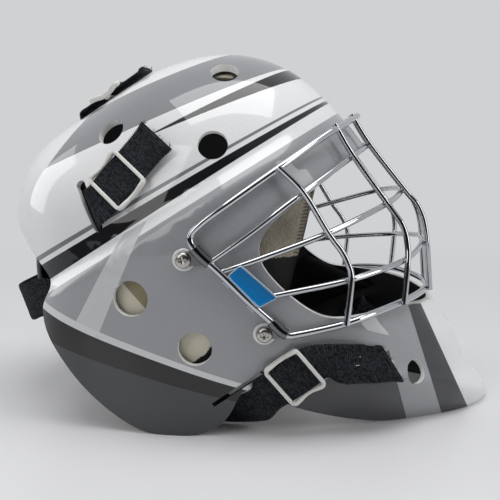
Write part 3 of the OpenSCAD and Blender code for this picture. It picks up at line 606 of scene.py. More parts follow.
rim_wire, bar_wire = 4.2, 3.6
cage_rim = np.array([
    [72, 0, 188], [69, 15, 186.5], [60, 43, 181], [52, 56, 176.5], [26, 83, 158.5], [0, 97, 140],
    [-15, 101, 129], [-22, 102, 121], [-19, 103, 113.5], [-5, 103.3, 100.5], [11, 102.5, 84.5],
    [23, 100.4, 73.3], [32, 100.8, 65.8], [40, 98.2, 65.5], [64, 89.5, 69.5], [80, 79, 73],
    [98, 60, 76], [110, 40, 77], [118, 18, 77], [120, 0, 77]], float)
cage_bars = {
    "cage_cross_bar_top": [[-11, 101.8, 106.6], [12, 96, 123], [39.5, 83, 144], [67.5, 45.5, 162.8],
                           [77.8, 14.5, 168.8], [79.2, 0, 169.2]],
    "cage_cross_bar_middle": [[-4, 101.6, 101.2], [16, 98.5, 108], [54.7, 83.3, 121.5], [89.7, 47.3, 135],
                              [100.5, 15, 139.5], [101.7, 0, 140.2]],
    "cage_cross_bar_bottom": [[12.4, 101, 85], [31, 97, 88.5], [67.5, 86.2, 95], [100.8, 55.6, 101.8],
                              [115.2, 17, 107], [116.3, 0, 107.5]]}
cage_posts = {
    "cage_post_inner": [[68, 13, 189], [80, 14, 170], [103.5, 15, 140.5], [112.5, 16, 129.5],
                        [117.5, 17.5, 113], [121, 18.5, 76]],
    "cage_post_middle": [[57.5, 46.5, 183], [69, 47.5, 164], [90, 50.5, 135.5], [99.3, 53.5, 122.5],
                         [102.5, 56, 110], [102.5, 58.5, 98], [101, 61.5, 75.5]],
    "cage_post_outer": [[26, 86.5, 159.5], [40.5, 86, 145], [55, 86.5, 122], [62.5, 87, 112],
                        [66.5, 88, 104.5], [68.5, 89, 95], [66.3, 92, 69.5]]}
chrome = finish_of("cage_bright_chrome_plate", Metallic=1.0, Base_Color=linear("#c2c4c7"), Roughness=0.07)
rim_curve = closed_curve(np.concatenate([cage_rim, mirrored(cage_rim[-2:0:-1])]), 10)
wires = {"cage_rim": (rim_curve, rim_wire, True)}
for name, half in cage_bars.items():
    line = np.concatenate([mirrored(half[:-1]), [half[-1]], half[-2::-1]])
    wires[name] = (open_curve(line, 12), bar_wire, False)
for name, line in cage_posts.items():
    wires[name + "_left"] = (open_curve(line, 12), bar_wire, False)
    wires[name + "_right"] = (open_curve(mirrored(line), 12), bar_wire, False)
head_middle = np.array([-10.0, 0.0, 100.0])
for name, (line, thickness, closed) in wires.items():
    across = np.cross(line - head_middle, np.gradient(line, axis=0))
    wire = piece_of(name + "_wire", *swept(line, across, circle(thickness, 20), closed), chrome)
    if not closed:
        wire.data.set_sharp_from_angle(angle=math.radians(60))
    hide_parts(name)
    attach(wire, "shell")

# Elastic webbing: black braided polyester over rubber strands, whose cross ribs lie 1.3 mm apart and
# pucker the selvedges. Its cut tails are folded, sewn with a row of thread and a little frayed.
webbing_width, webbing_thickness = 25.0, 1.6


def webbing_line(knots, step):
    """Smooth line through knots of a place and a width direction, in steps of about equal length: on each
    stretch a cubic, whose slope at a knot is that of the parabola through it and its two neighbours."""
    knots = np.array(knots, float)
    s = np.concatenate([[0], np.cumsum(np.linalg.norm(np.diff(knots[:, :3], axis=0), axis=1))])
    slope = np.gradient(knots, s, axis=0)
    fine = np.linspace(0, s[-1], int(s[-1] / step) + 1)
    i = np.clip(np.searchsorted(s, fine, side="right") - 1, 0, len(s) - 2)
    h = (s[i + 1] - s[i])[:, None]
    u = (fine - s[i])[:, None] / h
    return ((2 * u ** 3 - 3 * u ** 2 + 1) * knots[i] + (u ** 3 - 2 * u ** 2 + u) * h * slope[i]
            + (3 * u ** 2 - 2 * u ** 3) * knots[i + 1] + (u ** 3 - u ** 2) * h * slope[i + 1])


def webbing_piece(name, knots, side=1, width=webbing_width, hem=0.0, wave=0.0, wave_at=1.0, snug=None):
    """Ribbed webbing, or its mirror image where side is -1: a flat section with round edges, whose thickness
    swells by 0.2 once every rib of 1.3 and doubles over a folded hem at its start. One edge waves in and out
    of the surface by up to wave near the length wave_at, and near the place snug the webbing fills its
    slider. Its UV map is the width and the length in metres."""
    rib, depth = 1.3, 0.2
    line = webbing_line(knots, rib / 6)
    place, across = line[:, :3], line[:, 3:]
    s = np.concatenate([[0], np.cumsum(np.linalg.norm(np.diff(place, axis=0), axis=1))])
    b = np.sin(np.linspace(-math.pi / 2, math.pi / 2, 18))
    b = np.sign(b) * np.abs(b) ** 0.8
    edge = (1 - np.abs(b) ** 10) ** 0.5
    ribs = np.cos(2 * math.pi * s / rib)
    # The crest of a rib is round and the gap between two is narrow.
    crest = depth * (1 - 2 * (0.5 - 0.5 * ribs) ** 2.5)
    swell = crest[:, None] * (0.6 + 0.4 * np.cos(2 * math.pi * b * 9) ** 2)
    # Each rib spreads the edges by 0.35, and inside a slider the webbing fills it from rail to rail.
    inside = 0 * s
    if snug is not None:
        inside = ease((11 - np.abs(s - s[np.argmin(np.linalg.norm(place - snug, axis=1))])) / 2)
    half = width / 2 + 0.35 * ribs * (1 - inside) + 0.3 * inside
    # A hem doubles the webbing as far as its row of thread, and the cut end spreads a little.
    fold, stitched = 0 * s, 0 * s
    if hem:
        fold = 0.75 * webbing_thickness * ease((hem - s) / 1.2)
        stitched = 0.5 * np.exp(-((s - hem + 0.9) / 0.4) ** 2)
        half = half + 1.1 * np.exp(-((s / 6) ** 2))
    upper = ((webbing_thickness / 2 + fold - stitched)[:, None] + swell) * edge
    lower = -(webbing_thickness / 2 + swell) * edge
    width_at = half[:, None] * b
    buckle = wave * np.exp(-((s - wave_at) / 14) ** 2) * np.sin((s - wave_at) / 3.4)
    lift = buckle[:, None] * ease((-b - 0.1) / 0.9)
    section = np.stack([np.concatenate([width_at, width_at[:, ::-1][:, 1:-1]], axis=1),
                        np.concatenate([lower + lift, (upper + lift)[:, ::-1][:, 1:-1]], axis=1)], axis=-1)
    points, faces = swept(place, across, section, leaning=True)
    if hem:
        extra = frayed(place[0], across[0], np.cross(place[1] - place[0], across[0]), width)
        points, faces = joined([(points, faces), extra])
    strap = piece_of(name, points * [1, side, 1], [f[:, ::side] for f in faces], webbing)
    uv = strap.data.uv_layers.new(name="weave")
    corner = np.empty(len(strap.data.loops), np.int32)
    strap.data.loops.foreach_get("vertex_index", corner)
    corners = section.shape[1]
    corner = np.minimum(corner, len(s) * corners - 1)
    coords = np.stack([section[len(s) // 2, corner % corners, 0], s[corner // corners]], axis=1) / 1000
    uv.data.foreach_set("uv", coords.ravel())
    return strap


def frayed(place, across, out, width):
    """Loose threads of 0.28 mm at a cut end, most at its corners: each leaves it along an arc of its own."""
    draw = np.random.default_rng(5)
    across, out = across / np.linalg.norm(across), out / np.linalg.norm(out)
    ahead = np.cross(across, out)
    strands = []
    spots = np.concatenate([draw.uniform(-0.5, -0.44, 5), draw.uniform(0.44, 0.5, 5),
                            draw.uniform(-0.4, 0.4, 3)])
    for spot in spots:
        reach, bend = draw.uniform(0.7, 2.4), draw.uniform(-1.3, 1.3, 2)
        t = np.linspace(0, 1, 6)[:, None]
        start = place + across * spot * width + out * draw.uniform(0, webbing_thickness)
        line = start - ahead * reach * (t - 0.15) + (across * bend[0] + out * bend[1]) * t * t
        strands.append(swept(line, np.tile(out, (6, 1)), circle(0.28, 4)))
    return joined(strands)


webbing = finish_of("webbing_black_ribbed_elastic", Roughness=0.75, Specular_IOR_Level=0.2)
# The braid: short stitches 1.3 mm apart along each rib, each rib's half a stitch on from the last. The
# stitches are painted lighter than the webbing between them, a painted highlight, and bumped for relief.
stitch_pitch = 0.0013
thread = add(webbing, "ShaderNodeUVMap", uv_map="weave")
thread = add(webbing, "ShaderNodeMapping", {0: thread.outputs[0], "Location": (0.0, 0.5, 0.0),
                                            "Scale": (1 / stitch_pitch, 1 / stitch_pitch, 1.0)})
braid = add(webbing, "ShaderNodeTexBrick", {"Vector": thread.outputs[0], "Color1": (1.0, 1.0, 1.0, 1.0),
                                            "Color2": (0.1, 0.1, 0.1, 1.0), "Mortar": (0.0, 0.0, 0.0, 1.0),
                                            "Scale": 1.0, "Mortar Size": 0.22, "Mortar Smooth": 1.0,
                                            "Brick Width": 1.0, "Row Height": 1.0})
tint = add(webbing, "ShaderNodeMix", {0: braid.outputs[0], 6: linear("#030304"), 7: linear("#3c4148")},
           data_type="RGBA")
drive(webbing, "Base Color", tint.outputs[2])
relief = add(webbing, "ShaderNodeBump", {"Strength": 0.7, "Distance": 0.0003, "Height": braid.outputs[1]},
             invert=True)
drive(webbing, "Normal", relief.outputs[0])

# Where the straps run: over their sliders strap_lift above the shell, through the slots, and to the back
# plate, whose inner face is part of a ball. Each row is a place and a lean read off the side view.
strap_lift = 3.4
fit_gap = 0.3


def flat_knot(at, angle, place):
    """Knot of webbing that lies flat on the left side, along an angle of the side view: a place a, b, c in
    the frame there, and the frame's width direction."""
    turn = side_place(at, angle)
    return np.concatenate([carried([place], turn)[0], turn[1]])


def knot(place, across):
    """Knot of webbing: a place and a width direction."""
    return np.array([*place, *across], float)


def inside_wall(x, z, depth):
    """Point of the left side, depth in from the outside."""
    return (x, side_y(x, z) - depth, z)


plate_centre = np.array([-60.0, 0.0, 90.0])
plate_room, plate_thickness = 17.9, 2.5
plate_inner_r = math.hypot(*(outline[13, :2] - plate_centre[[0, 2]])) - wall - plate_room
strap_r = plate_inner_r + plate_thickness + fit_gap + webbing_thickness / 2


def ball_place(r, angle, y):
    """Point of a ball about the plate's centre, at an angle of the side view and a distance y across."""
    q = np.sqrt(r * r - np.asarray(y, float) ** 2)
    a = np.radians(angle)
    x, z = plate_centre[0] + q * np.cos(a), plate_centre[2] + q * np.sin(a)
    return np.stack(np.broadcast_arrays(x, y, z), axis=-1)


slot_way = ((2.2, 1.4), (0.3, -2.0), (-0.8, -5.5), (-4.0, -8.5))
upper_at, upper_angle = (-67.0, 149.5), 49
jaw_at, jaw_angle = (36.5, 39.7), 37
for side, word in ((1, "left"), (-1, "right")):
    route = [flat_knot(upper_at, upper_angle + 180, (a, 0, strap_lift)) for a in (-35, -24, -12, 0, 10, 14.5)]
    route += [np.concatenate([carried([[3.6, -a, b]], side_place(upper_slot, upper_slot_angle))[0],
                              -along_side(*upper_slot, upper_slot_angle)]) for a, b in slot_way]
    route += [knot((-106, 62, 131), (-0.1, 0, 1)), knot(ball_place(strap_r + 3, 154, 48), (0.2, 0, 1)),
              knot(ball_place(strap_r, 158, 32), (0.34, 0, 0.94))]
    strap = webbing_piece("upper_strap_%s_webbing" % word, route, side, hem=4, snug=route[3][:3])
    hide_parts("upper_strap_" + word)
    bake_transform(strap)

    # The tail leans: its ribs stand at these angles in the side view, and its lower edge buckles.
    route = [np.concatenate([carried([[0, 0, lift]], side_place((x, z), 0))[0], along_side(x, z, lean)])
             for x, z, lean, lift in ((91.8, 42.0, 122, 2.2), (86, 43.0, 120, 2.6), (78, 44.6, 108, 3.0),
                                      (70, 45.8, 96, 3.2), (60, 47.2, 97, 3.2))]
    route += [flat_knot(jaw_at, jaw_angle + 180, (a, 0, strap_lift)) for a in (-14, -6, 4, 14, 21)]
    route += [knot((18, 92, 22), (-0.45, 0.3, 0.85)), knot((11, 84.5, 15.5), (-0.3, 0.45, 0.85)),
              knot((0, 79.5, 12.4), (-0.05, 0.5, 0.86)), knot((-14, 78, 14), (0.2, 0.3, 0.93)),
              knot(inside_wall(-32, 25, 9), (0.4, 0, 0.9)), knot(inside_wall(-58, 40, 9), (0.5, 0, 0.85)),
              knot(inside_wall(-80, 55, wall + 3.4), (0.5, 0, 0.85))]
    strap = webbing_piece("jaw_strap_%s_webbing" % word, route, side, hem=4, wave=1.5, wave_at=27,
                          snug=side_place(jaw_at, 0)[3])
    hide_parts("jaw_strap_" + word)
    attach(strap, "shell")

top_angle, top_way = 33, np.array([-70.0, 111.3])
top_at = form_centre + rim_at(*(form_centre + top_way))[0] * top_way / math.hypot(*top_way)
top_at = np.array([top_at[0], 0, top_at[1]])


def middle_place(at, angle, a, c):
    """Point a along and c out from a point of the middle plane, where the angle leads forwards."""
    t = math.radians(angle)
    forwards, out = np.array([math.cos(t), 0, math.sin(t)]), np.array([-math.sin(t), 0, math.cos(t)])
    return np.asarray(at) + forwards * a + out * c


slot_middle = np.array([top_slot[0], 0.0, top_slot[1]])
route = [knot(middle_place(top_at, top_angle, a, strap_lift), (0, -1, 0)) for a in (30, 21, 12, 0, -10, -15)]
route += [knot(middle_place(slot_middle, top_slot_angle, a, c), (0, -1, 0)) for a, c in slot_way]
route += [knot(p, (0, -1, 0)) for p in ((-122, 0, 168), (-131, 0, 155), (-137, 0, 141),
                                        ball_place(strap_r, 160, 0))]
strap = webbing_piece("top_strap_webbing", route, hem=4, snug=route[3][:3])
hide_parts("top_strap")
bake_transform(strap)

# The band runs round the neck on an arc of this radius, which rises towards its ends.
band_middle, band_r = (-75.4, 61.3), 79
band_half = [knot(inside_wall(-88, 76, wall + webbing_thickness), (0.1, 0, 1)),
             knot(inside_wall(-98, 76, 9.5), (0.1, 0, 1)), knot(inside_wall(-108, 75, 14), (0, 0, 1))]
for f in (50, 38, 26, 13, 0):
    t = math.radians(f)
    lean = 0.43 * (1 - f / 70)
    band_half.append(knot((band_middle[0] - band_r * math.cos(t), band_r * math.sin(t),
                           band_middle[1] + 13 * (f / 50) ** 2),
                          (-lean * math.cos(t), lean * math.sin(t), 0.9)))
route = band_half + [k * [1, -1, 1, 1, -1, 1] for k in band_half[-2::-1]]
strap = webbing_piece("neck_band_webbing", route)
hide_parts("neck_band")
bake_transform(strap)

# Sliders: ladder locks moulded in off-white acetal. A frame lies over the strap, and a bar under the
# strap joins it to the frame at two short rails.
acetal = finish_of("slider_off_white_acetal", Roughness=0.36, Base_Color=linear("#dcdcd8"),
                   Subsurface_Weight=0.1, Subsurface_Scale=0.002, IOR=1.48)
slider_length, slider_width, slider_rail, slider_corner = 25, 31.2, 2.3, 2.6
bar_half_length, bar_height, bar_halves = 14.2, 1.4, [2.0, 0.95]


def turned_out(piece):
    """Points the faces of a closed piece outwards."""
    bm = bmesh.new()
    bm.from_mesh(piece.data)
    bmesh.ops.remove_doubles(bm, verts=bm.verts, dist=1e-7)
    bmesh.ops.recalc_face_normals(bm, faces=bm.faces)
    bm.to_mesh(piece.data)
    bm.free()


def slider_piece(name, place):
    """A ladder slider in a frame of directions along the strap, across it and out: a flat ring, whose sides
    beside the strap dip in the middle to a low bar under the strap."""
    top = strap_lift + webbing_thickness / 2 + fit_gap
    corner = oblong(slider_length - slider_rail, slider_width - slider_rail, slider_corner, 8)
    ring = np.concatenate([np.linspace(a, b, 13)[:-1] for a, b in zip(corner, np.roll(corner, -1, axis=0))])
    t = np.linspace(0, 2 * math.pi, 20, endpoint=False)
    square = np.column_stack([np.sign(np.cos(t)) * np.abs(np.cos(t)) ** 0.5,
                              np.sign(np.sin(t)) * np.abs(np.sin(t)) ** 0.5])
    beside = ease((np.abs(ring[:, 1]) - webbing_width / 2) / 1.5)
    dip = beside * ease((9.5 - np.abs(ring[:, 0])) / 8)
    section = square * np.stack([1.1 + 0.2 * beside - 0.32 * dip, 1.05 + 0.6 * beside], axis=-1)[:, None, :]
    loop = np.column_stack([ring[:, 0], ring[:, 1] - np.sign(ring[:, 1]) * (0.15 * beside + 0.37 * dip),
                            top + 1.05 - 0.6 * beside - 1.8 * dip])
    outwards = np.roll(ring, -1, axis=0) - np.roll(ring, 1, axis=0)
    outwards = np.column_stack([outwards[:, 1], -outwards[:, 0], np.zeros(len(ring))])
    parts = [swept(loop, outwards, section, True)]
    line = np.array([[0, y, bar_height] for y in np.linspace(-bar_half_length, bar_half_length, 12)])
    parts.append(swept(line, np.tile([1.0, 0, 0], (12, 1)), square * bar_halves))
    points, faces = joined(parts)
    return piece_of(name, carried(points, place), faces, acetal)


t = math.radians(top_angle)
top_place = np.array([[math.cos(t), 0, math.sin(t)], [0, 1, 0], [-math.sin(t), 0, math.cos(t)], top_at])
sliders = {"top_slider": top_place}
for side, word in ((1, "left"), (-1, "right")):
    sliders["upper_slider_" + word] = side_place(upper_at, upper_angle, side)
    sliders["jaw_slider_" + word] = side_place(jaw_at, jaw_angle, side)
for name, place in sliders.items():
    slider = slider_piece(name + "_moulding", place)
    turned_out(slider)
    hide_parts(name)
    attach(slider, name)

# Two short stitches in pale cotton thread show on each jaw strap's tail. They are sewn through it by hand,
# and stand a little above the webbing.
cotton = finish_of("stitch_pale_cotton", Roughness=0.9, Base_Color=linear("#c9c8c2"))
for side, word in ((1, "left"), (-1, "right")):
    stitches = []
    for at, angle, length in (((72.3, 49.4), 110, 1.5), ((71.6, 45.3), 4, 2.2)):
        turn = side_place(at, angle, side)
        line = carried([[length * (k - 1.5) / 3, 0, strap_lift + 0.75 + 0.25 * (k in (1, 2))]
                        for k in range(4)], turn)
        stitches.append(swept(line, np.tile(turn[1], (4, 1)), circle(0.45, 6)))
    stitch = piece_of("jaw_strap_%s_stitches" % word, *joined(stitches), cotton)
    turned_out(stitch)
    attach(stitch, "shell")

# The label plate: a strip of sheet steel between two of the cage's wires, enamelled plain blue, with a
# bright folded lip and two tabs behind it that wrap the rim wire.
enamel = finish_of("plate_blue_enamel", Roughness=0.45, Base_Color=linear("#0a74b2"), Specular_IOR_Level=0.2)
plate_corner = np.array([[-0.6, -103.9, 98.9], [6.6, -103.2, 105.4], [26.9, -101.8, 87.2],
                         [16.6, -103.5, 81.6]])
lip_wire, tab_length, tab_inner_r, tab_sheet = 1.1, 4.5, 2.15, 0.7
u, v = np.meshgrid(np.linspace(0, 1, 41), np.linspace(0, 1, 25), indexing="ij")
# The unit square drawn in at its corners: each coordinate shrinks by up to a twentieth with the other.
a, b = 2 * u - 1, 2 * v - 1
a, b = (1 + a * np.sqrt(1 - 0.1 * b ** 8)) / 2, (1 + b * np.sqrt(1 - 0.1 * a ** 8)) / 2
flat = ((plate_corner[0] * (1 - a[..., None]) + plate_corner[3] * a[..., None]) * (1 - b[..., None])
        + (plate_corner[1] * (1 - a[..., None]) + plate_corner[2] * a[..., None]) * b[..., None])
out = np.cross(plate_corner[1] - plate_corner[0], plate_corner[3] - plate_corner[0])
out = -out / np.linalg.norm(out) * np.sign(-out[1])
edge = np.maximum(np.abs(2 * u - 1), np.abs(2 * v - 1))
bow = 0.7 * (1 - (2 * v - 1) ** 2) - 0.7 * edge ** 16
top = flat + (bow[..., None] + 0.25) * out
low = flat + (bow[..., None] - 0.45) * out


def slab_faces(rows, columns):
    """Faces of a closed slab between two grids of points, the outward one first: both sides and the rim."""
    i, j = np.meshgrid(np.arange(rows - 1), np.arange(columns - 1), indexing="ij")
    a = (i * columns + j).ravel()
    top = np.stack([a, a + columns, a + columns + 1, a + 1], axis=1)
    total = rows * columns
    rim = np.concatenate([np.arange(columns), np.arange(1, rows) * columns + columns - 1,
                          (rows - 1) * columns + np.arange(columns - 2, -1, -1),
                          np.arange(rows - 2, 0, -1) * columns])
    after = np.roll(rim, -1)
    return [top, total + top[:, ::-1], np.stack([rim, after, total + after, total + rim], axis=1)]


def wrapped(line, low_angle, high_angle, inner_r, thickness):
    """Skin of sheet metal bent round a wire: a crescent between two radii and two angles, measured round
    the wire from the direction away from the head, carried along its line."""
    a = np.radians(np.linspace(low_angle, high_angle, 25))
    r = np.concatenate([np.full(25, inner_r + thickness), np.full(25, inner_r)])
    a = np.concatenate([a, a[::-1]])
    across = np.cross(line - head_middle, np.gradient(line, axis=0))
    return swept(line, across, np.column_stack([r * np.sin(a), r * np.cos(a)]))


def stretch_of(line, middle, length, count=15):
    """The stretch of a line of that length whose middle is nearest to a point, in steps of equal length."""
    s = np.concatenate([[0], np.cumsum(np.linalg.norm(np.diff(line, axis=0), axis=1))])
    at = s[np.argmin(np.linalg.norm(line - middle, axis=1))]
    t = np.linspace(at - length / 2, at + length / 2, count)
    return np.column_stack([np.interp(t, s, line[:, i]) for i in range(3)])


right_rim = rim_curve[rim_curve[:, 1] < -60]
border = np.concatenate([top[0, :-1], top[:-1, -1], top[-1, :0:-1], top[:0:-1, 0]]) + 0.1 * out
lip_parts = [swept(border, np.tile(out, (len(border), 1)), circle(lip_wire, 10), True)]
for middle in (plate_corner[0] + [0, 0, -2], plate_corner[3] + [-2.5, 0, 1.5]):
    lip_parts.append(wrapped(stretch_of(right_rim, middle, tab_length), 80, 280, tab_inner_r, tab_sheet))
plate = piece_of("cage_plate_enamelled", np.concatenate([top.reshape(-1, 3), low.reshape(-1, 3)]),
                 slab_faces(41, 25), enamel)
turned_out(plate)
plate.data.set_sharp_from_angle(angle=math.radians(40))
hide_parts("cage_plate")
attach(plate, "shell")
brushed = finish_of("plate_lip_brushed_steel", Metallic=0.7, Base_Color=linear("#c9d3d8"), Roughness=0.4)
lip = piece_of("cage_plate_lip", *joined(lip_parts), brushed)
turned_out(lip)
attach(lip, "shell")

# Clips: sheet steel bent round the rim wire and back on itself, chromed, with a tab under a pan-head
# screw. A clear nylon washer keeps each off the paint, and a tee nut holds the screw inside the shell.
# The clips' chrome has a darker base colour than the cage's: painted reflection of the dark room in front of
# them.
clip_steel = finish_of("clip_chromed_sheet_steel", Metallic=1.0, Base_Color=linear("#717274"), Roughness=0.1)
nylon = finish_of("washer_clear_nylon", Roughness=0.2, Base_Color=linear("#f6f7f5"), Transmission_Weight=0.1,
                  IOR=1.5)
stainless = finish_of("screw_stainless_steel", Metallic=1.0, Base_Color=linear("#b4b1ac"), Roughness=0.24)
# Heights are from the shell's outside: the washer, the clip's tab, the screw's head and shank, the nut.
washer_bore_r, washer_r, washer_base, washer_top = 2.3, 6.5, 0.15, 1.4
clip_inner_r, clip_sheet, tab_end_r, tab_base, tab_top = 2.2, 1.05, 4.8, 1.6, 2.75
head_r, head_base, head_height, recess_depth = 4.7, 2.9, 2.5, 1.5
shank_r, shank_end = 1.95, -9.8
nut_bore_r, nut_flange_r, nut_barrel_r, nut_face, nut_flange, nut_end = 2.1, 6.0, 3.5, -5.0, 1.5, -9.4
# Each clip: its screw, the middle of its hold on the rim wire, its length there, and its screw's turn.
clip_holds = ((clip_high, (-15.5, 103.15, 110.2), 12.5, 30), (clip_low, (28.2, 100.72, 68.65), 11.5, 12))
clip_parts, washer_parts, screw_parts, nut_parts = [], [], [], []


def turned(profile, place, sides=64):
    """Skin of a profile of radius and height turned about a frame's third direction. Its first and last
    points lie on the axis."""
    profile = np.asarray(profile, float)
    a = np.linspace(0, 2 * math.pi, sides, endpoint=False)
    r, h = profile[1:-1, :1], np.repeat(profile[1:-1, 1:], sides, axis=1)
    rings = np.stack([r * np.cos(a), r * np.sin(a), h], axis=-1)
    points = np.concatenate([rings.reshape(-1, 3), [[0, 0, profile[0, 1]], [0, 0, profile[-1, 1]]]])
    return carried(points, place), capped_faces(len(r), sides)


def ring_of(inner_r, outer_r, low, high, place, soft=0.25, sides=64):
    """A flat ring with softened edges about a frame's third direction."""
    profile = [[inner_r + soft, low], [outer_r - soft, low], [outer_r, low + soft], [outer_r, high - soft],
               [outer_r - soft, high], [inner_r + soft, high], [inner_r, high - soft], [inner_r, low + soft]]
    a = np.linspace(0, 2 * math.pi, sides, endpoint=False)
    r, h = np.array(profile).T
    points = np.stack([np.cos(a)[:, None] * r, np.sin(a)[:, None] * r, np.repeat(h[None], sides, 0)], axis=-1)
    return carried(points.reshape(-1, 3), place), [sweep_faces(sides, len(r), True)]


def screw_head(place, turn):
    """A pan head with a cross recess: on a disc the height is a flattened dome, less a cross whose arms are
    1.3 wide and 5 long and slope to a point at the recess's depth."""
    rings, sides = 40, 120
    r = head_r * np.linspace(0, 1, rings + 1)[1:, None]
    a = np.linspace(0, 2 * math.pi, sides, endpoint=False)[None, :]
    x, y = r * np.cos(a), r * np.sin(a)
    p, q = x * math.cos(turn) + y * math.sin(turn), -x * math.sin(turn) + y * math.cos(turn)
    dome = head_height * (1 - (r / head_r) ** 3.2) ** 0.42 + 0 * a
    arm = np.maximum(ease((0.72 - np.abs(p)) / 0.22) * ease((2.6 - np.abs(q)) / 0.5),
                     ease((0.72 - np.abs(q)) / 0.22) * ease((2.6 - np.abs(p)) / 0.5))
    height = dome - arm * (recess_depth - 0.42 * r) + head_base
    tip = head_base + head_height - recess_depth
    points = np.stack([x, y, height], axis=-1).reshape(-1, 3)
    points = np.concatenate([points, [[0, 0, tip], [0, 0, head_base]]])
    return carried(points, place), capped_faces(rings, sides)


shank = [[0, 3.0], [shank_r, 3.0], [shank_r, shank_end + 0.6], [shank_r - 0.45, shank_end], [0, shank_end]]
for side in (1, -1):
    rim_side = rim_curve[rim_curve[:, 1] * side > 60]
    for number, (at, hold, length, turn) in enumerate(clip_holds):
        hold = np.array(hold) * [1, side, 1]
        way = math.degrees(math.atan2(hold[2] - at[1], hold[0] - at[0]))
        place = side_place(at, way, side)
        clip_parts.append(wrapped(stretch_of(rim_side, hold, length), -128, 128, clip_inner_r, clip_sheet))
        reach = np.linalg.norm(hold[[0, 2]] - at)
        arc = np.radians(np.linspace(55, 305, 31))
        tab = np.concatenate([tab_end_r * np.column_stack([np.cos(arc), np.sin(arc)]),
                              [[reach - 4.5, -length / 2 + 1], [reach - 1.6, -length / 2 + 0.6],
                               [reach - 1.6, length / 2 - 0.6], [reach - 4.5, length / 2 - 1]]])
        clip_parts.append(prism(rounded(tab, 1.2), place, tab_base, tab_top))
        washer_parts.append(ring_of(washer_bore_r, washer_r, washer_base, washer_top, place, 0.4))
        screw_parts.append(screw_head(place, math.radians(turn + 25 * side + 40 * number)))
        screw_parts.append(turned(shank, place, 32))
        nut_parts.append(ring_of(nut_bore_r, nut_flange_r, nut_face - nut_flange, nut_face, place))
        nut_parts.append(ring_of(nut_bore_r, nut_barrel_r, nut_end, nut_face - nut_flange + 0.1, place))
for name, node, parts, material, slot_name in (
        ("clip_bent_strips", "cage_clips", clip_parts, clip_steel, "clip_steel"),
        ("clip_clear_washers", "clip_washers", washer_parts, nylon, "washer_plastic"),
        ("clip_pan_head_screws", "clip_screws", screw_parts, stainless, "fastener_steel"),
        ("clip_tee_nuts", "clip_nuts", nut_parts, stainless, "fastener_steel")):
    piece = piece_of(name, *joined(parts), material)
    turned_out(piece)
    piece.data.set_sharp_from_angle(angle=math.radians(38))
    if node == "cage_clips":
        soften = piece.modifiers.new("soft_edges", "BEVEL")
        soften.width = 0.00022
        soften.segments = 2
        soften.limit_method = "ANGLE"
        soften.angle_limit = math.radians(50)
        soften.harden_normals = False
    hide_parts(node)
    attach(piece, "shell")

# The back plate: polypropylene moulded to the back of the head, with drawn grooves, held by the straps'
# ends under moulded studs. A black foam pad is glued inside it.
plastic = finish_of("back_plate_black_polypropylene", Roughness=0.42, Base_Color=linear("#1b1c1e"), IOR=1.49)
plate_top, plate_bottom, plate_half, stud_r = 154, 206, 42, 3.2


def plate_face(height, rows=81, columns=101):
    """A face of the plate, as a grid on the ball about its centre with its corners drawn in: rows run down
    the middle plane and columns across it. height gives the distance from the ball at u, v in -1..1."""
    u, v = np.meshgrid(np.linspace(-1, 1, rows), np.linspace(-1, 1, columns), indexing="ij")
    y = v * plate_half * (1 - 0.25 * u ** 4) * np.sqrt(1 - 0.12 * u ** 10)
    angle = (plate_top + plate_bottom) / 2 + (plate_bottom - plate_top) / 2 * u * np.sqrt(1 - 0.06 * v ** 10)
    return ball_place(plate_inner_r + height(u, v), angle, y)


def plate_outside(u, v):
    """The plate's thickness, thinning over the last hundredth to the edge, less three grooves 0.9 deep down
    the plate and a border groove 0.5 deep."""
    edge = np.maximum(np.abs(u), np.abs(v))
    grooves = sum(0.9 * np.exp(-((v - c) / 0.028) ** 2) * ease((0.72 - np.abs(u + 0.05)) / 0.08)
                  for c in (-0.28, 0.0, 0.28))
    border = 0.5 * np.exp(-((edge - 0.93) / 0.014) ** 2)
    return plate_thickness / 2 * (1 + (1 - np.minimum(edge, 1) ** 60) ** 0.5) - grooves - border


def plate_inside(u, v):
    """The inner face, rounded the same way at the edge."""
    return plate_thickness / 2 * (1 - (1 - np.maximum(np.abs(u), np.abs(v)) ** 60) ** 0.5)


points = np.concatenate([plate_face(height).reshape(-1, 3) for height in (plate_outside, plate_inside)])
back_plate = piece_of("back_plate_moulding", points, slab_faces(81, 101), plastic)
turned_out(back_plate)
back_plate.data.set_sharp_from_angle(angle=math.radians(60))
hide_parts("back_plate")
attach(back_plate, "back_plate")
stud_parts = []
# A stud's profile: a low dome on a short collar. Each stud stands at an angle and a distance across.
h = np.linspace(0, 1, 8)
dome = np.column_stack([stud_r * np.sqrt(1 - h ** 2), 0.4 + 0.6 * h])
stud = np.concatenate([[[0, 0.0], [stud_r - 0.2, 0.0], [stud_r, 0.2]], dome[:-1], [[0, 1.0]]])
for angle, y in ((160, 27), (160, 36), (160, -27), (160, -36), (161.5, 6.5), (161.5, -6.5)):
    middle = ball_place(strap_r + 0.4, angle, y)
    out = (middle - plate_centre) / np.linalg.norm(middle - plate_centre)
    u = np.cross([0, 1, 0], out)
    u /= np.linalg.norm(u)
    stud_parts.append(turned(stud, np.array([u, np.cross(out, u), out, middle]), 32))
studs = piece_of("back_plate_studs", *joined(stud_parts), plastic)
turned_out(studs)
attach(studs, "back_plate")

# Pads: foam cut to shape and glued to the shell's wall. The forehead, crown and temple pads are faced with
# brushed fleece, which leaves the temple pads' lower front part bare, and the rest is black foam.
glue_gap, nut_room = 1.4, 7.2
cup_centre, cup_radii = np.array([76, 0, 50.0]), (27, 32, 24)


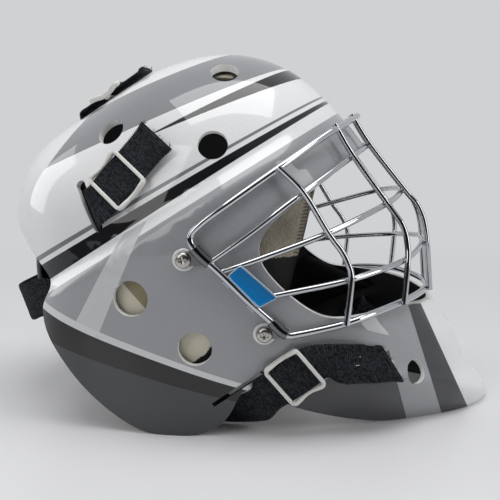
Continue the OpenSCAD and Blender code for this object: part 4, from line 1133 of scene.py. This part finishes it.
def on_form(first, last, angle):
    """Place function of a pad on the shell's wall, between two places along the outline's points and up to
    an angle to each side: the point at u, v in 0..1, depth in from its seat."""
    def place(u, v, depth):
        e = first + (last - first) * u
        k = np.floor(e).astype(int)
        w = (e - k)[..., None]
        line = cubic(*(outline[(k + shift) % len(outline)] for shift in (-1, 0, 1, 2)), w)
        return form_place(line, np.radians(angle) * (2 * v - 1), wall + glue_gap + depth)
    return place


def on_wall(field, bow=0.0, clear=None):
    """Place function of a pad on the left side's wall: x, z are bilinear in a four-cornered field, one side
    of which is bowed out. Round a nut at clear they are pushed out to nut_room from it."""
    f = np.array(field, float)
    way = (f[2] - f[1]) / np.linalg.norm(f[2] - f[1])

    def place(u, v, depth):
        u, v = u[..., None], v[..., None]
        p = ((f[0] * (1 - u) + f[1] * u) * (1 - v) + (f[3] * (1 - u) + f[2] * u) * v
             + np.array([way[1], -way[0]]) * bow * u * np.sin(math.pi * v) * (1 - v))
        if clear:
            r = np.linalg.norm(p - clear, axis=-1, keepdims=True)
            p = clear + (p - clear) * (r ** 4 + nut_room ** 4) ** 0.25 / np.maximum(r, 1e-6)
        y = side_y(p[..., 0], p[..., 1], wall + glue_gap) - depth
        return np.stack([p[..., 0], y, p[..., 1]], axis=-1)
    return place


def on_plate(u, v, depth):
    """Place function of the back pad: v runs down the plate's inner face and u across it."""
    y = 37 * (2 * u - 1) * (1 - 0.25 * (2 * v - 1) ** 4)
    return ball_place(plate_inner_r - fit_gap - depth, 157 + 46 * v, y)


def cup_place(f, s, out):
    """Point out from the chin cup's outer face, an ellipsoid, at angles f down and s across in degrees."""
    f, s = np.radians(f), np.radians(s)
    a, b, c = (r + out for r in cup_radii)
    x, z = a * np.cos(f) * np.cos(s), c * np.sin(f) * np.cos(s)
    return cup_centre + np.stack([x, b * np.sin(s), z], axis=-1)


def in_cup(u, v, depth):
    """Place function of the chin cup's lining."""
    return cup_place(-80 + 90 * u, 62 * (2 * v - 1), -depth)


puff_rows, puff_columns, puff_steps = 17, 25, 20


def puffed(place, thickness, seams, cap):
    """How far a pad's cover swells, on a coarse grid: a cloth simulation of the closed pad under
    pressure, held at its seat and its seams."""
    u, v = np.meshgrid(np.linspace(0, 1, puff_rows), np.linspace(0, 1, puff_columns), indexing="ij")
    depth = thickness(u, v)
    cover, seat = place(u, v, depth), place(u, v, 0 * u)
    model = piece_of("pad_model", np.concatenate([cover.reshape(-1, 3), seat.reshape(-1, 3)]),
                     slab_faces(puff_rows, puff_columns))
    turned_out(model)
    held = np.abs(v[..., None] - np.array(list(seams) + [0, 1])).min(axis=-1) < 0.01
    group = model.vertex_groups.new(name="held")
    group.add(np.concatenate([np.flatnonzero(held), np.arange(u.size, 2 * u.size)]).tolist(), 1.0, "REPLACE")
    cloth = model.modifiers.new("cloth", "CLOTH")
    cloth.settings.use_pressure = True
    cloth.settings.uniform_pressure_force = 4
    cloth.settings.effector_weights.gravity = 0
    cloth.settings.vertex_group_mass = "held"
    cloth.settings.quality = 6
    cloth.collision_settings.use_collision = False
    cloth.point_cache.frame_start, cloth.point_cache.frame_end = 1, puff_steps
    for moment in range(1, puff_steps + 1):
        bpy.context.scene.frame_set(moment)
    swollen = model.evaluated_get(bpy.context.evaluated_depsgraph_get()).data
    after = np.empty(len(swollen.vertices) * 3)
    swollen.vertices.foreach_get("co", after)
    after = after.reshape(-1, 3)[:u.size].reshape(cover.shape) * 1000
    bpy.data.objects.remove(model)
    bpy.context.scene.frame_set(1)
    inward = place(u, v, depth + 1) - cover
    return np.clip(np.sum((after - cover) * inward, axis=-1), 0, cap)


def pad_piece(name, node, place, thick, seams, cap, material, body, rows, columns, side=1,
              detail=None, nut=None):
    """A pad as a closed form: at u, v its thickness is that of a crowned cushion with drawn-in sides, less
    its sewn channels, and the cloth's swelling on top. detail adds to it, and nut leaves a pocket."""
    def thickness(u, v):
        a, b = np.abs(2 * u - 1), np.abs(2 * v - 1)
        h = thick * (0.16 + 0.7 * ((1 - a ** 7) * (1 - b ** 7)) ** 0.5)
        for at in seams:
            h = h - thick * (0.16 * np.exp(-((v - at) / 0.012) ** 2) + 0.07 * np.exp(-((v - at) / 0.05) ** 2))
        return h

    swelling = puffed(place, thickness, seams, cap)
    t = np.linspace(-1, 1, columns)
    across = (1 + 0.7 * t + 0.3 * np.sin(t * math.pi / 2)) / 2
    u, v = np.meshgrid(np.linspace(0, 1, rows), across, indexing="ij")
    # The swelling on the pad's own grid, smoothed by two running means each way.
    fine = np.array([np.interp(v[0], np.linspace(0, 1, puff_columns), line) for line in swelling])
    fine = np.array([np.interp(u[:, 0], np.linspace(0, 1, puff_rows), line) for line in fine.T]).T
    for axis, reach in ((0, rows // 24), (1, columns // 36)):
        for shift in 2 * [reach]:
            padding = [(shift, shift) if k == axis else (0, 0) for k in (0, 1)]
            wide = np.pad(fine, padding, mode="edge")
            fine = np.mean([np.take(wide, range(k, k + fine.shape[axis]), axis=axis)
                            for k in range(2 * shift + 1)], axis=0)
    depth = thickness(u, v) + fine
    seat = place(u, v, 0 * u)
    # low is the underside's height over the seat: it rises where the cover sinks, and over a nut it steps
    # up twice, for the flange and for the barrel.
    low = 0.2 + 0 * u
    if detail:
        relief = detail(u, v, seat[..., 0], seat[..., 2])
        depth = depth + relief
        low = 0.9 - 0.6 * relief
    if nut:
        low = 1.26 + (low - 1.26) * ease((seat[..., 0] + 16) / 6)
        r = np.hypot(seat[..., 0] - nut[0], seat[..., 2] - nut[1])
        low = (np.maximum(low, 0.2) + 1.8 * ease((nut_flange_r + 1.8 - r) / 0.8)
               + 3.4 * ease((nut_barrel_r + 1.7 - r) / 0.8))
        low = np.minimum(low, depth - 0.6)
    points = np.concatenate([place(u, v, depth).reshape(-1, 3), place(u, v, low).reshape(-1, 3)])
    pad = piece_of(name, points * [1, side, 1], slab_faces(rows, columns), material)
    turned_out(pad)
    if nut:
        stitches, ridges = overlock(u, v)
        # The troughs between the overlock stitches are kept as an attribute for painted shade, which the
        # material darkens.
        groove = pad.data.attributes.new("groove", "FLOAT", "POINT")
        groove.data.foreach_set("value", np.tile(stitches * (0.5 - 0.5 * ridges), (2, 1)).ravel())
    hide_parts(node)
    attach(pad, body)
    return pad


def fuzz(rows, columns, size, seed):
    """Seeded lumps of a brushed pile, about a grid step wide, up to size high."""
    lumps = np.random.default_rng(seed).normal(size=(rows, columns))
    return size * np.clip(lumps + 0.6 * np.roll(lumps, 1, axis=0), -2, 2) / 2


# Where a temple pad is faced with fleece, as convex fields of the side view.
fleece_fields = ([[-140, -29], [-38, 34], [-16, 50], [-6, 62], [4, 84], [10, 107], [14, 180], [-140, 180]],
                 [[0, 106], [16, 106.6], [70, 110], [70, 180], [0, 180]])


def overlock(u, v):
    """The overlocked front edge of the fleece, 4.6 wide: its share at u, v, and its slanting stitches, whose
    crests of 1 lie 2 mm apart."""
    from_edge = (1 - v) * 125
    return (ease(from_edge / 0.7) * ease((4.6 - from_edge) / 0.8),
            np.cos(2 * math.pi * (u * 65 + 0.4 * from_edge) / 2))


def temple_detail(u, v, x, z):
    """The fleece's pile, its overlocked front edge and the step of 1.6 down to the bare foam."""
    level = np.full(x.shape, -100.0)
    for field in fleece_fields:
        p = np.array(field, float)
        e = np.roll(p, -1, axis=0) - p
        e /= np.linalg.norm(e, axis=1, keepdims=True)
        inside_it = np.min([e[k, 0] * (z - p[k, 1]) - e[k, 1] * (x - p[k, 0]) for k in range(len(p))], axis=0)
        level = np.maximum(level, inside_it)
    covered = ease(level / 1.6)
    stitches, ridges = overlock(u, v)
    return covered * (0.5 + (1 - stitches) * fuzz(*u.shape, 0.45, 3) + stitches * (0.45 * ridges - 0.9)) - 1.1


temple_cover, fleece = (finish_of(name, Roughness=0.95, Specular_IOR_Level=0.15, Sheen_Weight=0.25,
                                  Sheen_Roughness=0.6)
                        for name in ("temple_pad_fleece_on_foam", "pad_cream_fleece"))
foam = finish_of("pad_black_foam", Roughness=0.9, Specular_IOR_Level=0.2, Base_Color=linear("#070708"))
for material in (temple_cover, fleece):
    at = add(material, "ShaderNodeTexCoord").outputs["Object"]
    # The pile: strands about 0.5 mm wide that lie upwards, lighter at their tips.
    strands = add(material, "ShaderNodeMapping", {0: at, "Scale": (1400.0, 1400.0, 420.0)})
    strands = add(material, "ShaderNodeTexNoise", {"Vector": strands.outputs[0], "Scale": 1.0, "Detail": 3.0})
    pile = add(material, "ShaderNodeMix", {0: strands.outputs[0], 6: linear("#6f6757"), 7: linear("#b9b2a4")},
               data_type="RGBA").outputs[2]
    nap_height = 0.6
    if material is temple_cover:
        # Behind the ear holes the pad is smooth and painted a paler cream: painted light, for the direct
        # light that falls on it through the ear holes. A darker strip crosses the upper half of the rear ear
        # hole.
        for tint, field in (("#ded8c6", [[-140, 20], [-12, 20], [-12, 180], [-140, 180]]),
                            ("#958c72", [[-70, 97], [-48, 73], [-36, 78], [-58, 102]])):
            ear_patch = level_in(material, at, field)
            ear_patch = add(material, "ShaderNodeMapRange", {0: ear_patch, 1: -0.0002, 2: 0.0002})
            pile = add(material, "ShaderNodeMix", {0: ear_patch.outputs[0], 6: pile, 7: linear(tint)},
                       data_type="RGBA").outputs[2]
        along = add(material, "ShaderNodeSeparateXYZ", {0: at}).outputs[0]
        nap_height = add(material, "ShaderNodeMapRange", {0: along, 1: -0.014, 2: -0.010, 3: 0.05,
                                                          4: 0.6}).outputs[0]
        # Painted shade: the troughs between the overlock stitches are darkened to a deep brown.
        groove = add(material, "ShaderNodeAttribute", attribute_name="groove").outputs["Fac"]
        pile = add(material, "ShaderNodeMix", {0: groove, 6: pile, 7: linear("#4a4133")},
                   data_type="RGBA").outputs[2]
        rough = add(material, "ShaderNodeTexNoise", {"Vector": at, "Scale": 700.0, "Detail": 2.0})
        rough = add(material, "ShaderNodeMapRange", {0: rough.outputs[0], 3: -0.0012, 4: 0.0012})
        covered = None
        for field in fleece_fields:
            level = level_in(material, at, field)
            covered = level if covered is None else add(material, "ShaderNodeMath", {0: covered, 1: level},
                                                        operation="MAXIMUM").outputs[0]
        covered = add(material, "ShaderNodeMath", {0: covered, 1: rough.outputs[0]}, operation="ADD")
        covered = add(material, "ShaderNodeMapRange", {0: covered.outputs[0], 1: -0.0002, 2: 0.0002})
        pile = add(material, "ShaderNodeMix", {0: covered.outputs[0], 6: linear("#0c0c0e"), 7: pile},
                   data_type="RGBA").outputs[2]
    drive(material, "Base Color", pile)
    nap = add(material, "ShaderNodeBump", {"Strength": nap_height, "Distance": 0.0004,
                                           "Height": strands.outputs[0]})
    drive(material, "Normal", nap.outputs[0])
# The foam's open cells, about 0.7 mm across.
at = add(foam, "ShaderNodeTexCoord").outputs["Object"]
cells = add(foam, "ShaderNodeTexVoronoi", {"Vector": at, "Scale": 1500.0})
cells = add(foam, "ShaderNodeBump", {"Strength": 0.35, "Distance": 0.0002, "Height": cells.outputs[0]})
drive(foam, "Normal", cells.outputs[0])

# The corners of the side pads, as x, z of the side view.
temple_field = [[-86, 92], [-38, 38], [32, 84], [46.5, 148]]
jaw_field = [[-4, 44], [32, 34], [88, 60], [36, 80]]
for side, word in ((1, "left"), (-1, "right")):
    pad_piece("temple_pad_%s_cover" % word, "temple_pad_" + word, on_wall(temple_field, 10), 13, (0.5,), 1.6,
              temple_cover, "shell", 141, 161, side, temple_detail, clip_high)
    pad_piece("jaw_pad_%s_foam" % word, "jaw_pad_" + word, on_wall(jaw_field, 0, clip_low), 11, (), 1.2, foam,
              "shell", 51, 81, side)
pad_piece("forehead_pad_cover", "forehead_pad", on_form(7.25, 8.35, 46), 13, (0.25, 0.5, 0.75), 1.6, fleece,
          "shell", 49, 141, detail=lambda u, v, x, z: fuzz(*u.shape, 0.3, 7))
pad_piece("crown_pad_cover", "crown_pad", on_form(8.8, 10.5, 26), 11, (0.5,), 1.4, fleece, "shell",
          91, 81, detail=lambda u, v, x, z: fuzz(*u.shape, 0.3, 8))
pad_piece("back_pad_foam", "back_pad", on_plate, 12, (1 / 3, 2 / 3), 1.4, foam, "back_plate",
          71, 81)
pad_piece("chin_cup_foam", "chin_cup", in_cup, 5, (), 0.5, foam, "chin_cup", 61, 71)

# The chin cup hangs in a narrow sling of the same elastic webbing, sewn round it. A snap pressed from
# stainless sheet steel holds the sling on each side of the jaw, inside the shell's wall.
sling_angle, chin_snap, sling_width, sling_room = 25, (74.0, 35.0), 14.0, 4.1
route = [flat_knot(chin_snap, sling_angle, (a, 0, -wall - sling_room)) for a in (-8, 0, 7)]
route += [knot(cup_place(-32, s, 3 if s > 70 else 1.6), (-0.57, 0, -0.82)) for s in (80, 62, 45, 30, 15, 0)]
route += [k * [1, -1, 1, 1, -1, 1] for k in route[-2::-1]]
sling = webbing_piece("chin_sling_webbing", route, width=sling_width)
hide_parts("chin_sling")
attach(sling, "chin_cup")
snap_parts = []
# A snap's two halves, each a button with a short stub, on either side of the sling.
snap_profiles = ([[0, -6.4], [5.8, -6.4], [6, -6.2], [6, -5.6], [5.6, -5.2], [0, -5.2]],
                 [[0, -6.7], [2.5, -6.7], [2.5, -6.3], [0, -6.3]],
                 [[0, -11.4], [3.4, -11.4], [4.1, -11.0], [4.3, -10.5], [4.3, -9.9], [0, -9.9]],
                 [[0, -10.0], [2.5, -10.0], [2.5, -9.6], [0, -9.6]])
for side in (1, -1):
    place = side_place(chin_snap, 0, side)
    snap_parts += [turned(profile, place, 48) for profile in snap_profiles]
snaps = piece_of("chin_snaps_pressed", *joined(snap_parts), stainless)
turned_out(snaps)
snaps.data.set_sharp_from_angle(angle=math.radians(40))
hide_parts("chin_snaps")
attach(snaps, "shell")
